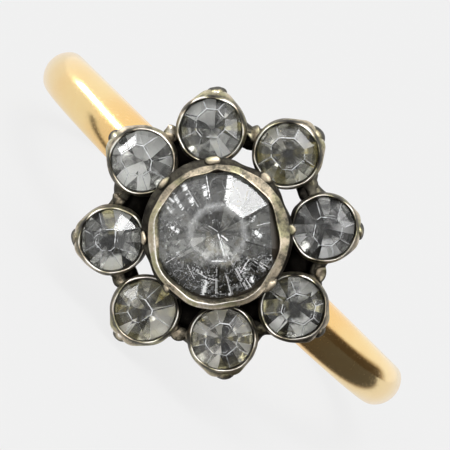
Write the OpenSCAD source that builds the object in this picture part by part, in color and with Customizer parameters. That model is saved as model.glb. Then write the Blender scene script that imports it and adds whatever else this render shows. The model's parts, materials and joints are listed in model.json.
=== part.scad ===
// Gemstone ring: a gold shank carries a silver flower of one large and eight small clear stones.
// The ring lies on its side, as it does when it is put down. It touches the surface at its lowest
// claw and at the back edge of the shank, which lifts the flower's face a little.
// The modules work in the head frame, with its origin at the middle of the finger hole: Z points
// out through the flower, Y along the finger, and X across the shank. Heights are measured along Z.

/* [Shank] */
// Radius of the finger hole
bore_r = 8.5; // [8.2:0.1:8.8]
// Thickness of the shank at the middle of its domed outside
shank_t = 1.2; // [1.1:0.05:1.4]
// Radius of the dome across the shank
dome_r = 1.08; // [1.0:0.02:1.14]
// Width of the shank where it passes under the flower
front_w = 2.16; // [2.0:0.02:2.3]
// Width of the shank halfway round
side_w = 1.9; // [1.8:0.02:2.0]
// Width of the shank at the back
back_w = 1.6; // [1.4:0.02:1.8]
// Metal left under the flat where the flower sits
seat_t = 0.7; // [0.6:0.05:0.8]

/* [Centre collet] */
// Height of the centre rim above the seat
centre_rim_h = 4.0; // [3.9:0.05:4.2]
// Radius of the centre collet at its widest
centre_wall_r = 2.87; // [2.84:0.01:2.9]
// Outer radius of the centre rim, which leans in over the stone
centre_rim_r = 2.74; // [2.7:0.01:2.8]
// Radius of the opening that shows the centre stone
centre_open_r = 2.38; // [2.34:0.01:2.42]
// Radius of the centre collet where it stands on the seat
centre_foot_r = 2.3; // [2.2:0.05:2.5]
// Height over which it widens from its foot
centre_flare_h = 2.35; // [2.0:0.05:2.5]

/* [Outer collets] */
// Height of the outer rims above the seat
outer_rim_h = 3.45; // [3.4:0.05:3.55]
// Radius of an outer collet at its widest
outer_wall_r = 1.35; // [1.34:0.01:1.37]
// Outer radius of an outer rim
outer_rim_r = 1.27; // [1.25:0.01:1.29]
// Radius of the opening that shows an outer stone
outer_open_r = 1.18; // [1.16:0.01:1.19]
// Radius of an outer collet at its closed foot
outer_foot_r = 0.85; // [0.75:0.05:0.95]
// Height over which it widens from its foot
outer_flare_h = 1.2; // [1.0:0.05:1.3]
// Depth of an outer collet from rim to foot
outer_depth = 2.5; // [2.4:0.05:2.6]
// Height over which the rims lean in
lean_h = 0.35; // [0.3:0.01:0.37]
// Thickness of the closed backs of the collets
back_t = 0.3; // [0.25:0.05:0.4]
// Height of the pointed corner of an outer collet
corner_t = 1.0; // [0.8:0.05:1.1]

/* [Claws, ribs and grains] */
// Distance from the middle of the flower to the outermost point of a claw
claw_reach = 5.55; // [5.5:0.01:5.6]
// Radius of the rounded wire that the claws are made of
claw_r = 0.15; // [0.13:0.01:0.17]
// Width of a claw across its point
claw_w = 0.66; // [0.6:0.02:0.7]
// Length of a claw down the corner of its collet
claw_h = 1.0; // [0.9:0.05:1.1]
// Step down from a corner's top to the top of its claw
claw_step = 0.05; // [0:0.05:0.1]
// Radius of a grain between the centre rim and an outer rim
rim_grain_r = 0.17; // [0.15:0.01:0.19]
// Length of such a grain along the centre rim
rim_grain_w = 0.68; // [0.6:0.02:0.72]
// How far its middle lies outside the middle of the two rims, and above the outer rim
rim_grain_shift = [0.08, 0.25]; // [0.05:0.01:0.3]
// How far a grain between two outer collets bites into each of them
side_grip = 0.07; // [0.05:0.01:0.1]
// Height of the web under such a grain
web_h = 1.15; // [0.9:0.05:1.2]
// Width of the rib under an outer collet
rib_w = 0.9; // [0.7:0.1:1.1]
// Height of that rib
rib_h = 1.75; // [1.5:0.05:1.8]
// Thickness of the solder that fills some of the gaps between the collets
solder_t = 0.6; // [0.4:0.1:0.8]
// Depth of that solder below the outer rims
solder_depth = 0.9; // [0.8:0.1:1.1]

/* [Stones] */
// Radius of the centre stone at its girdle
centre_girdle_r = 2.55; // [2.52:0.01:2.58]
// Depth of its girdle below the centre rim
centre_girdle_depth = 0.45; // [0.4:0.01:0.5]
// Radius of its flat table
centre_table_r = 1.08; // [0.9:0.02:1.3]
// Height of its crown above the girdle
centre_crown_h = 0.8; // [0.6:0.05:0.9]
// Depth of its pavilion under the girdle
centre_pavilion_h = 1.8; // [1.6:0.05:1.9]
// How far its table lies off its middle, across and along the finger
centre_table_shift = [0.03, 0.04]; // [-0.1:0.01:0.1]
// Turn of its facets in degrees
centre_facet_turn = 30; // [0:1:44]
// Radius of an outer stone at its girdle
outer_girdle_r = 1.24; // [1.22:0.01:1.25]
// Depth of its girdle below the outer rim
outer_girdle_depth = 0.4; // [0.36:0.01:0.42]
// Radius of its flat table
outer_table_r = 0.63; // [0.55:0.01:0.7]
// Height of its crown above the girdle
outer_crown_h = 0.42; // [0.35:0.01:0.45]
// Depth of its pavilion under the girdle
outer_pavilion_h = 0.9; // [0.8:0.05:1.2]
// Thickness of the girdles
girdle_t = 0.08; // [0.06:0.01:0.1]
// Radius of the blunt points of the pavilions
culet_r = 0.06; // [0.04:0.01:0.1]
// Width of the ledges that the girdles stand on
ledge_w = 0.12; // [0.1:0.01:0.15]
// Clearance between a stone and its collet
stone_gap = 0.03; // [0.02:0.01:0.04]

/* [Hidden] */
// Each petal of the flower is one collet with its stone and claw. A row gives how far the stone has
// drifted from its even place round the flower in degrees, how far the stone's middle lies from the
// middle of the flower, how far the claw has drifted in degrees, the turn of the stone's facets, and
// whether solder fills the gap between this petal, the next one and the centre collet.
STONE_DRIFT = 0;
STONE_R = 1;
CLAW_DRIFT = 2;
FACET_TURN = 3;
GAP_FILLED = 4;
PETALS = [
    [0.5, 4.00, 0.5, 10, true],
    [2.4, 4.04, 0.5, 12, false],
    [3.0, 4.01, -0.4, 20, false],
    [2.7, 3.94, -0.2, 17, true],
    [0.4, 3.94, 1.0, 9, true],
    [3.0, 3.99, 1.3, 23, false],
    [1.3, 3.97, 0.8, 8, true],
    [2.3, 3.98, 2.3, 12, true],
];
PETAL_N = len(PETALS);
PETAL_STEP = 360 / PETAL_N;
OUTER_NAMES = [for (i = [1:PETAL_N]) str("outer_stone_", i)];
gold_colour = "#d9a650";
silver_colour = "#8f887b";
stone_colour = "#b4b8b6";
$fn = 96;

// Angles and places in the flower
function polar(r, a) = [r * cos(a), r * sin(a)];
function stone_a(i) = i * PETAL_STEP + PETALS[i][STONE_DRIFT];
function claw_a(i) = i * PETAL_STEP + PETALS[i][CLAW_DRIFT];
function stone_at(i) = polar(PETALS[i][STONE_R], stone_a(i));
function claw_at(i) = polar(claw_reach - claw_r, claw_a(i));
function to_claw(i) = claw_at(i) - stone_at(i);
function next(i) = (i + 1) % PETAL_N;
function between(i) = (stone_at(i) + stone_at(next(i))) / 2;
function side_grain_r(i) = norm(stone_at(next(i)) - stone_at(i)) / 2 - outer_wall_r + side_grip;

// Heights
shank_r = bore_r + shank_t;
dome_c = shank_r - dome_r;
seat_h = bore_r + seat_t;
centre_top = seat_h + centre_rim_h;
centre_girdle = centre_top - centre_girdle_depth;
outer_top = seat_h + outer_rim_h;
outer_girdle = outer_top - outer_girdle_depth;
outer_foot = outer_top - outer_depth;
corner_top = outer_top - lean_h;
claw_foot = corner_top - claw_step - claw_h;
table_top = centre_girdle + girdle_t + centre_crown_h;

// Rest on a surface: the back edge of the shank and the foot of the lowest claw touch it
back_edge_r = dome_c + sqrt(pow(dome_r, 2) - pow(back_w / 2, 2));
rest_tilt = atan((claw_reach - back_w / 2) / (claw_foot + back_edge_r));
ring_z = back_edge_r * sin(rest_tilt) + back_w / 2 * cos(rest_tilt);
front_reach = table_top * cos(rest_tilt) + centre_table_r * sin(rest_tilt);
back_reach = dome_c * cos(rest_tilt) + dome_r;
ring_y = (front_reach - back_reach) / 2;

// Puts what is modelled in the head frame in its place on the surface
module at_rest() {
    translate([0, ring_y, ring_z]) rotate([90 - rest_tilt, 0, 0]) children();
}

// Half round wire bent into a hoop, as wide all round as its dome allows
module half_round_hoop() {
    rotate([90, 0, 0]) rotate_extrude()
        intersection() {
            translate([dome_c, 0]) circle(r = dome_r);
            translate([0, -dome_r]) square([shank_r, 2 * dome_r]);
        }
}

// Block that gives the hoop its taper, wide under the flower and narrow at the back
module shank_taper() {
    far = shank_r + 1;
    edge = [[front_w / 2, far], [side_w / 2, 0], [back_w / 2, -shank_r], [back_w / 2, -far]];
    other_edge = [for (k = [len(edge) - 1:-1:0]) [-edge[k][0], edge[k][1]]];
    rotate([90, 0, 90]) translate([0, 0, -far]) linear_extrude(2 * far) polygon(concat(edge, other_edge));
}

module shank() {
    across = 2 * shank_r;
    at_rest() color(gold_colour) difference() {
        intersection() {
            half_round_hoop();
            shank_taper();
        }
        rotate([90, 0, 0]) cylinder(r = bore_r, h = across, center = true);
        translate([-across / 2, -across / 2, seat_h]) cube([across, across, shank_t]);
    }
}

// Solid outside of the centre collet: a drum that widens from its foot and leans in at its rim
module centre_collet_body() {
    rotate_extrude() polygon([
        [0, seat_h], [centre_foot_r, seat_h], [centre_wall_r, seat_h + centre_flare_h],
        [centre_wall_r, centre_top - lean_h], [centre_rim_r, centre_top], [0, centre_top]
    ]);
}

// Solid outside of one outer collet, on its own axis: a tapering cup that leans in at its rim
module outer_collet_body() {
    rotate_extrude() polygon([
        [0, outer_foot], [outer_foot_r, outer_foot], [outer_wall_r, outer_foot + outer_flare_h],
        [outer_wall_r, corner_top], [outer_rim_r, outer_top], [0, outer_top]
    ]);
}

// Corner of an outer collet, pointing at its claw. Its sides leave the round wall as tangents.
module outer_collet_corner(i) {
    rotate(atan2(to_claw(i)[1], to_claw(i)[0])) translate([0, 0, corner_top - corner_t])
        linear_extrude(corner_t) intersection() {
            rotate(-45) square(outer_wall_r);
            translate([0, -outer_wall_r]) square([norm(to_claw(i)), 2 * outer_wall_r]);
        }
}

// Space cut out of a collet: the cup behind the stone, the ledge and groove that hold its girdle,
// and the opening over its crown. The slopes are the rise of pavilion and crown over their run.
module stone_space(foot, foot_r, flare_h, girdle, girdle_r, open_r, pavilion_slope, crown_slope) {
    groove_r = girdle_r + stone_gap;
    cup_r = girdle_r - ledge_w;
    girdle_top = girdle + girdle_t;
    rotate_extrude() polygon([
        [0, foot + back_t], [foot_r - back_t, foot + back_t], [cup_r, foot + flare_h],
        [cup_r, girdle - stone_gap - (groove_r - cup_r) * pavilion_slope],
        [groove_r, girdle - stone_gap], [groove_r, girdle_top + stone_gap],
        [open_r, girdle_top + stone_gap + (groove_r - open_r) * crown_slope],
        [open_r, centre_top + 1], [0, centre_top + 1]
    ]);
}

module centre_stone_space() {
    stone_space(seat_h, centre_foot_r, centre_flare_h, centre_girdle, centre_girdle_r, centre_open_r,
        centre_pavilion_h / centre_girdle_r, centre_crown_h / (centre_girdle_r - centre_table_r));
}

module outer_stone_space() {
    stone_space(outer_foot, outer_foot_r, outer_flare_h, outer_girdle, outer_girdle_r, outer_open_r,
        outer_pavilion_h / outer_girdle_r, outer_crown_h / (outer_girdle_r - outer_table_r));
}

// Rounded bar along Y with ball ends, as a claw's top and a grain are
module ball_ended_bar(r, w) {
    rotate([90, 0, 0]) cylinder(r = r, h = w - 2 * r, center = true);
    for (side = [-1, 1]) translate([0, side * (w / 2 - r), 0]) sphere(r = r);
}

// Claw down the point of an outer collet, flattened across it, with a rounded top
module claw(i) {
    half = claw_w / 2 - claw_r;
    post_h = claw_h - claw_r;
    translate([claw_at(i)[0], claw_at(i)[1], claw_foot]) rotate(claw_a(i)) {
        for (side = [-1, 1]) translate([0, side * half, 0]) cylinder(r = claw_r, h = post_h);
        translate([-claw_r, -half, 0]) cube([2 * claw_r, 2 * half, post_h]);
        translate([0, 0, post_h]) ball_ended_bar(claw_r, claw_w);
    }
}

// Grain that joins the centre rim and an outer rim
module rim_grain(i) {
    rim_gap_r = (centre_rim_r + PETALS[i][STONE_R] - outer_rim_r) / 2;
    rotate(stone_a(i)) translate([rim_gap_r + rim_grain_shift[0], 0, outer_top + rim_grain_shift[1]])
        ball_ended_bar(rim_grain_r, rim_grain_w);
}

// Web and grain that join two neighbouring outer collets, as thick as the space between them
module side_grain(i) {
    translate([between(i)[0], between(i)[1], corner_top - side_grip - web_h]) {
        cylinder(r = side_grain_r(i), h = web_h);
        translate([0, 0, web_h]) sphere(r = side_grain_r(i));
    }
}

// Rib under an outer collet that joins it to the wall of the centre collet
module rib(i) {
    rotate(stone_a(i)) translate([centre_foot_r, -rib_w / 2, outer_foot + back_t / 2])
        cube([PETALS[i][STONE_R] - centre_foot_r, rib_w, rib_h]);
}

// Solder that fills the gap between two neighbouring outer collets and the centre collet
module solder(i) {
    inner = between(i) * centre_foot_r / norm(between(i));
    translate([0, 0, outer_top - solder_depth - solder_t]) linear_extrude(solder_t)
        polygon([inner, stone_at(i), stone_at(next(i))]);
}

module petal_metal(i) {
    translate(stone_at(i)) outer_collet_body();
    translate(stone_at(i)) outer_collet_corner(i);
    claw(i);
    side_grain(i);
    rib(i);
    if (PETALS[i][GAP_FILLED]) solder(i);
}

module setting() {
    at_rest() color(silver_colour) {
        difference() {
            union() {
                centre_collet_body();
                for (i = [0:PETAL_N - 1]) petal_metal(i);
            }
            centre_stone_space();
            for (i = [0:PETAL_N - 1]) translate(stone_at(i)) outer_stone_space();
        }
        for (i = [0:PETAL_N - 1]) rim_grain(i);
    }
}

// Faceted stone on its own axis: an eight sided table and pavilion, and sixteen sides at the girdle
module cut_stone(girdle, girdle_r, table_r, table_shift, crown_h, pavilion_h) {
    facets = 8;
    thin = 0.01;
    hull() {
        translate([0, 0, girdle]) rotate(90 / facets) cylinder(r = girdle_r, h = girdle_t, $fn = 2 * facets);
        translate([table_shift[0], table_shift[1], girdle + girdle_t + crown_h - thin])
            cylinder(r = table_r, h = thin, $fn = facets);
        translate([0, 0, girdle - pavilion_h]) cylinder(r = culet_r, h = thin, $fn = facets);
    }
}

module centre_stone() {
    turned_shift = polar(norm(centre_table_shift),
        atan2(centre_table_shift[1], centre_table_shift[0]) - centre_facet_turn);
    at_rest() color(stone_colour, 0.6) rotate(centre_facet_turn)
        cut_stone(centre_girdle, centre_girdle_r, centre_table_r, turned_shift, centre_crown_h,
            centre_pavilion_h);
}

module outer_stone(i) {
    at_rest() color(stone_colour, 0.6) translate(stone_at(i)) rotate(PETALS[i][FACET_TURN])
        cut_stone(outer_girdle, outer_girdle_r, outer_table_r, [0, 0], outer_crown_h, outer_pavilion_h);
}

shank();
setting();
centre_stone();
for (i = [0:PETAL_N - 1]) outer_stone(i);
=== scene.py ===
"""Looks of a gemstone ring: a worn gold shank under an old silver flower that holds nine cut stones.

Shapes are worked out in millimetres in the head frame and then placed on the CAD frame. The head frame
has its origin in the middle of the finger hole, X across the shank, Y along the finger and Z out through
the flower. Angles round the flower run from X towards Y.
"""

import itertools
import json
import logging
import math
from dataclasses import dataclass, field
from enum import Enum
from typing import Any

import bpy
import numpy as np
from mathutils import Matrix

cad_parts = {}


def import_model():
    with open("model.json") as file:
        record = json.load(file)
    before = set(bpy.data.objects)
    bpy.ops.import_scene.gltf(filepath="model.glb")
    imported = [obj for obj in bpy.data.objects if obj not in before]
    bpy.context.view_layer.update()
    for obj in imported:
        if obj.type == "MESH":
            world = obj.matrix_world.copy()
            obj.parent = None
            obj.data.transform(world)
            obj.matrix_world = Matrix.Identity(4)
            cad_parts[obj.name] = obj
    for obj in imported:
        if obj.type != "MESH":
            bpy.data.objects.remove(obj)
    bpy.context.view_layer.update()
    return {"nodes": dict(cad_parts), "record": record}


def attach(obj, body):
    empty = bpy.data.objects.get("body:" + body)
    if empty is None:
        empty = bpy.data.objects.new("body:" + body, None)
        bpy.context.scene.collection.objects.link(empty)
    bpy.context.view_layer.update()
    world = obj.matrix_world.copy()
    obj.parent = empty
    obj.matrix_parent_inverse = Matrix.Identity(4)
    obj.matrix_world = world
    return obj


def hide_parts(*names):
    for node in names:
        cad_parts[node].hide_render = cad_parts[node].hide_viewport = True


Array = np.ndarray
Triple = tuple[float, float, float]
Colour = Triple
Fold = tuple[Array | float, Array | float, Array | float, float]
Material = bpy.types.Material

LOG = logging.getLogger("ring")
MM = 0.001

# Pixels of the photograph in a millimetre of the ring's head.
PHOTO_SCALE = 26.55

# The sine waves that make a surface uneven.
WAVES = 7
WAVE_GAIN = 1.6

# Least upward part of the normals of a stone's crown.
CROWN_RISE = 0.1

# Size in millimetres of the crumbs that a chipped stone loses.
CRUMB = 0.055

# Tolerances in millimetres of the cut stones' corners, with the least determinant of three planes that cross.
PARALLEL = 1e-7
OUTSIDE = 1e-6
ON_PLANE = 5e-5
DIGITS = 5
LEAST_SIDE = 1e-6

# Share of the way to the next fold that the rounding of a fold may take.
HALFWAY = 0.49


class Slot(Enum):
    """Material slots of the record."""

    GOLD = "gold"
    SILVER = "silver"
    STONE = "stone"


class StoneFinish(Enum):
    """Finishes of a cut stone, in the order of its material slots."""

    GLASS = 0
    FOIL = 1


def turned(angle: float, radius: float = 1.0) -> Array:
    """Point at an angle in degrees round the flower."""
    return radius * np.array([math.cos(math.radians(angle)), math.sin(math.radians(angle))])


def raised(angle: float, radius: float, height: float) -> Array:
    """Point at an angle in degrees round the flower, at a height."""
    return np.array([*turned(angle, radius), height])


def bearing(place: Array) -> float:
    """Angle in degrees that a place in the plane lies at."""
    return math.degrees(math.atan2(place[1], place[0]))


def ring_angles(count: int) -> Array:
    """Even angles in radians for the columns of a closed ring."""
    return np.arange(count) * 2 * math.pi / count


def angle_off(angles: Array, middle: float) -> Array:
    """Signed angles in radians from a middle angle in degrees, between minus and plus a half turn."""
    return (angles - math.radians(middle) + math.pi) % (2 * math.pi) - math.pi


def hump(angles: Array, middle: float, width: float) -> Array:
    """Bell curve round a ring: one at the middle angle and falling off over a width, both in degrees."""
    return np.exp(-((angle_off(angles, middle) / math.radians(width)) ** 2))


def along(angles: Array, shift: Array) -> Array:
    """How far a shift in the plane moves each angle of a ring outwards."""
    return np.cos(angles) * shift[0] + np.sin(angles) * shift[1]


def wobble(points: Array, size: float, seed: int) -> Array:
    """Smooth unevenness between about -1 and 1.

    It is the mean of a few sine waves, each about `size` long, that run in seeded directions.

    Args:
        points: Places as (..., 3).
        size: Length of the waves.
        seed: Number that the directions and phases come from.

    Returns:
        One value for each place.
    """
    rng = np.random.default_rng(seed)
    directions = rng.normal(size=(WAVES, 3))
    directions *= 2 * math.pi / size / np.linalg.norm(directions, axis=1, keepdims=True)
    phases = rng.uniform(0, 2 * math.pi, WAVES)
    return np.sin(points @ directions.T + phases).mean(axis=-1) * WAVE_GAIN


def roughened(grid: Array, amount: float, size: float, seed: int) -> Array:
    """Points moved by an amount times the unevenness of three seeds in a row, one for each axis."""
    return grid + amount * np.stack([wobble(grid, size, seed + k) for k in range(3)], axis=-1)


@dataclass(frozen=True)
class HeadFrame:
    """Axes of the ring's head in the row frame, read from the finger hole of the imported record."""

    origin: Array
    axes: Array

    @classmethod
    def from_record(cls, record: dict[str, Any]) -> "HeadFrame":
        """Takes the origin and the finger's direction from the mount named finger_bore.

        Args:
            record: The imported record.

        Returns:
            The head frame.
        """
        bore = next(mount for mount in record["mounts"] if mount["name"] == "finger_bore")
        finger = np.array(bore["axis"]) / np.linalg.norm(bore["axis"])
        across = np.array([1.0, 0.0, 0.0])
        return cls(np.array(bore["pos_m"]), np.stack([across, finger, np.cross(across, finger)]))

    def place(self, points: Array) -> Array:
        """Places in metres in the row frame of points in millimetres in the head frame."""
        return self.origin + MM * points @ self.axes

    def direction(self, vector: Array) -> Array:
        """The same direction in the row frame."""
        return vector @ self.axes

    def read(self, node: bpy.types.Object) -> Array:
        """Points of a CAD node in millimetres in the head frame.

        Args:
            node: The node.

        Returns:
            Its points.
        """
        flat = np.empty(3 * len(node.data.vertices), np.float32)
        node.data.vertices.foreach_get("co", flat)
        return (flat.reshape(-1, 3) - self.origin) @ self.axes.T / MM


@dataclass
class Skin:
    """Points, how rubbed each is, and groups of faces with the same number of corners and one finish."""

    points: Array
    wear: Array
    groups: list[tuple[Array, int]]

    def volume(self) -> float:
        """Sum of the signed volumes of the wedges from the first point to every triangle of a fan.

        Returns:
            The volume in cubic millimetres, negative if the faces are turned inwards.
        """
        total = 0.0
        base = self.points - self.points[0]
        for faces, _ in self.groups:
            for k in range(1, faces.shape[1] - 1):
                a, b, c = base[faces[:, 0]], base[faces[:, k]], base[faces[:, k + 1]]
                total += float(np.einsum("ij,ij->i", a, np.cross(b, c)).sum())
        return total / 6

    def outward(self) -> "Skin":
        """Turns the faces outwards.

        Returns:
            This skin.
        """
        if self.volume() < 0:
            self.groups = [(faces[:, ::-1], finish) for faces, finish in self.groups]
        return self


def grid_skin(grid: Array, wear: Array, closed_rows: bool = False) -> Skin:
    """Skin over a grid whose every row runs round a ring.

    Quads join neighbouring points. If the rows aren't closed on each other, a fan of triangles round the
    mean of its points closes the first row and the last.

    Args:
        grid: Points as (rows, columns, 3).
        wear: How rubbed each is, as (rows, columns).
        closed_rows: Whether the last row joins the first.

    Returns:
        The closed skin, with its faces outwards.
    """
    rows, columns = grid.shape[:2]
    row, column = np.meshgrid(np.arange(rows if closed_rows else rows - 1), np.arange(columns), indexing="ij")
    above, beside = (row + 1) % rows, (column + 1) % columns
    quads = np.stack(
        [row * columns + column, row * columns + beside, above * columns + beside, above * columns + column],
        axis=-1,
    ).reshape(-1, 4)
    points, rubbed, groups = grid.reshape(-1, 3), wear.reshape(-1), [(quads, 0)]
    if not closed_rows:
        around = np.arange(columns)
        first = np.stack([np.roll(around, -1), around, np.full(columns, rows * columns)], axis=1)
        last = (rows - 1) * columns
        hub = np.full(columns, rows * columns + 1)
        other = np.stack([around + last, np.roll(around, -1) + last, hub], axis=1)
        points = np.concatenate([points, grid[[0, -1]].mean(axis=1)])
        rubbed = np.concatenate([rubbed, wear[[0, -1]].mean(axis=1)])
        groups += [(first, 0), (other, 0)]
    return Skin(points, rubbed, groups).outward()


def rounded_rows(corners: Array, reach: Array, steps: int = 6) -> Array:
    """Rows along a strip whose folds are rounded.

    Each inner fold b becomes the curve (1-t)^2 a + 2t(1-t) b + t^2 c, where a and c lie on the strip a
    given reach before and after the fold, or halfway to the next fold if that is nearer.

    Args:
        corners: Folds as (folds, columns, values), whose first two values are a radius and a height.
        reach: Reach of each inner fold.
        steps: Rows in each fold.

    Returns:
        The rows as (rows, columns, values).
    """
    fold = corners[1:-1]

    def towards(target: Array) -> Array:
        """Points on the way from each fold to its neighbour.

        Args:
            target: The neighbours.

        Returns:
            One point for each fold.
        """
        gap = target - fold
        length = np.linalg.norm(gap[..., :2], axis=-1, keepdims=True)
        return fold + gap * np.minimum(reach[:, None, None] / np.maximum(length, LEAST_SIDE), HALFWAY)

    start, end = towards(corners[:-2])[:, None], towards(corners[2:])[:, None]
    t = np.linspace(0, 1, steps)[None, :, None, None]
    curve = (1 - t) ** 2 * start + 2 * t * (1 - t) * fold[:, None] + t**2 * end
    return np.concatenate([corners[:1], curve.reshape(-1, *corners.shape[1:]), corners[-1:]])


def lathe(middle: Array, rows: Array, angles: Array) -> Array:
    """Grid of points from rows of radii and heights round a middle."""
    radius, height = rows[..., 0], rows[..., 1]
    return np.stack(
        np.broadcast_arrays(middle[0] + radius * np.cos(angles), middle[1] + radius * np.sin(angles), height),
        axis=-1,
    )


class Value:
    """A shader socket that takes part in Python sums. Each sum adds a Math node."""

    def __init__(self, paint: "Paint", socket: bpy.types.NodeSocket) -> None:
        """Wraps a socket of a tree."""
        self.paint = paint
        self.socket = socket

    def maths(self, operation: str, *numbers: "Value | float", first: bool = True) -> "Value":
        """Adds a Math node.

        Args:
            operation: Its operation.
            numbers: The other operands.
            first: Whether this value is the first operand.

        Returns:
            The result.
        """
        operands = [self, *numbers] if first else [*numbers, self]
        return self.paint.value("ShaderNodeMath", {"operation": operation}, dict(enumerate(operands)))

    def __add__(self, other: "Value | float") -> "Value":
        """Sum."""
        return self.maths("ADD", other)

    def __mul__(self, other: "Value | float") -> "Value":
        """Product."""
        return self.maths("MULTIPLY", other)

    def __sub__(self, other: "Value | float") -> "Value":
        """Difference."""
        return self.maths("SUBTRACT", other)

    def __rsub__(self, other: "Value | float") -> "Value":
        """Reflected difference."""
        return self.maths("SUBTRACT", other, first=False)

    def __truediv__(self, other: "Value | float") -> "Value":
        """Quotient."""
        return self.maths("DIVIDE", other)

    def __abs__(self) -> "Value":
        """Size without sign."""
        return self.maths("ABSOLUTE")

    def over(self, other: "Value | float") -> "Value":
        """The larger of the two."""
        return self.maths("MAXIMUM", other)

    def fade(self, low: float, high: float) -> "Value":
        """Smooth step from 0 at low to 1 at high. With low above high it runs the other way."""
        ends = {0: self, 1: min(low, high), 2: max(low, high), 3: float(low > high), 4: float(low < high)}
        return self.paint.value("ShaderNodeMapRange", {"interpolation_type": "SMOOTHSTEP"}, ends)

    __radd__ = __add__
    __rmul__ = __mul__


class Paint:
    """A node tree that is built by calls."""

    def __init__(self, tree: bpy.types.NodeTree) -> None:
        """Empties the tree."""
        self.tree = tree
        tree.nodes.clear()

    @classmethod
    def of_material(cls, name: str) -> "tuple[Paint, Material]":
        """Makes a material and the paint for its tree.

        Args:
            name: Its name.

        Returns:
            The paint and the material.
        """
        material = bpy.data.materials.new(name)
        material.use_nodes = True
        return cls(material.node_tree), material

    def node(self, kind: str, settings: dict[str, Any], sockets: dict[int | str, Any]) -> bpy.types.Node:
        """Adds a node.

        Args:
            kind: The node's type.
            settings: Its settings, which are set first.
            sockets: Values or links of its input sockets.

        Returns:
            The node.
        """
        made = self.tree.nodes.new(kind)
        for name, setting in settings.items():
            setattr(made, name, setting)
        for key, content in sockets.items():
            if isinstance(content, Value):
                self.tree.links.new(content.socket, made.inputs[key])
            else:
                made.inputs[key].default_value = content
        return made

    def value(
        self, kind: str, settings: dict[str, Any], sockets: dict[int | str, Any], output: int | str = 0
    ) -> Value:
        """Adds a node and returns one of its outputs."""
        return Value(self, self.node(kind, settings, sockets).outputs[output])

    def vector(self, operation: str, sockets: dict[int | str, Any], output: int = 0) -> Value:
        """Adds a Vector Math node."""
        return self.value("ShaderNodeVectorMath", {"operation": operation}, sockets, output)

    def place(self) -> Value:
        """Object coordinates in millimetres."""
        return self.vector("SCALE", {0: self.value("ShaderNodeTexCoord", {}, {}, "Object"), "Scale": 1 / MM})

    def local(self) -> Value:
        """Millimetres from a stone's own axis: x to the right and y up in the photograph."""
        return self.value("ShaderNodeAttribute", {"attribute_name": "local"}, {}, "Vector")

    def dot(self, place: Value, way: Triple) -> Value:
        """Part of a vector along a direction."""
        return self.vector("DOT_PRODUCT", {0: place, 1: way}, 1)

    def towards(self, place: Value, angle: float) -> Value:
        """Part of a vector towards an angle in degrees, level with the flower."""
        return self.dot(place, (*turned(angle), 0.0))

    def flat(self, place: Value) -> Value:
        """The same vector without its height."""
        return self.vector("MULTIPLY", {0: place, 1: (1.0, 1.0, 0.0)})

    def radius(self, place: Value) -> Value:
        """Distance from the axis."""
        return self.vector("LENGTH", {0: self.flat(place)}, 1)

    def distance(self, place: Value, x: float, y: float) -> Value:
        """Distance from a line that is parallel to the axis."""
        return self.vector("LENGTH", {0: self.vector("SUBTRACT", {0: self.flat(place), 1: (x, y, 0.0)})}, 1)

    def stretched(self, place: Value, turn: Triple, scale: Triple) -> Value:
        """Coordinates along axes that are turned by angles in degrees, with each axis scaled."""
        angles, shares = tuple(math.radians(a) for a in turn), tuple(1 / s for s in scale)
        return self.value("ShaderNodeMapping", {"vector_type": "TEXTURE"}, {0: place, 2: angles, 3: shares})

    def noise(self, place: Value, size: float, detail: float = 2.0, rough: float = 0.5) -> Value:
        """Cloudy noise whose patches are about a size in millimetres."""
        return self.value("ShaderNodeTexNoise", {}, {0: place, 2: 1 / size, 3: detail, 4: rough})

    def cells(self, place: Value, size: float, feature: str = "F1", output: int | str = 0) -> Value:
        """Distance from the middle or the edge of the nearest random cell, in cells, or the cell's tone."""
        sockets = {"Vector": place, "Scale": 1 / size}
        return self.value("ShaderNodeTexVoronoi", {"feature": feature}, sockets, output)

    def attribute(self, name: str) -> Value:
        """A number that the mesh holds at its points."""
        return self.value("ShaderNodeAttribute", {"attribute_name": name}, {}, "Fac")

    def mix(self, share: Value | float, first: Value | Colour, second: Value | Colour) -> Value:
        """Mixes two colours.

        Args:
            share: Share of the second colour.
            first: Colour at 0.
            second: Colour at 1.

        Returns:
            The colour.
        """
        ends = [c if isinstance(c, Value) else (*c, 1.0) for c in (first, second)]
        settings = {"data_type": "RGBA", "clamp_factor": True}
        return self.value("ShaderNodeMix", settings, {0: share, 6: ends[0], 7: ends[1]}, 2)

    def bump(self, height: Value, depth: float, base: Value | None = None) -> Value:
        """Normal of a surface with relief as deep as a number of millimetres."""
        sockets = {"Strength": 1.0, "Distance": depth * MM, "Height": height}
        return self.value("ShaderNodeBump", {}, sockets | ({"Normal": base} if base else {}))

    def blend(self, share: Value, first: Value, second: Value) -> Value:
        """Shader between two shaders."""
        return self.value("ShaderNodeMixShader", {}, {0: share, 1: first, 2: second})

    def surface(self, **sockets: Any) -> Value:
        """Principled shader. A socket's name is given with underscores for spaces."""
        named = {name.replace("_", " "): content for name, content in sockets.items()}
        return self.value("ShaderNodeBsdfPrincipled", {}, named)

    def finish(self, shader: Value, kind: str = "ShaderNodeOutputMaterial") -> None:
        """Links the shader to the output."""
        self.node(kind, {}, {"Surface": shader})


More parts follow.
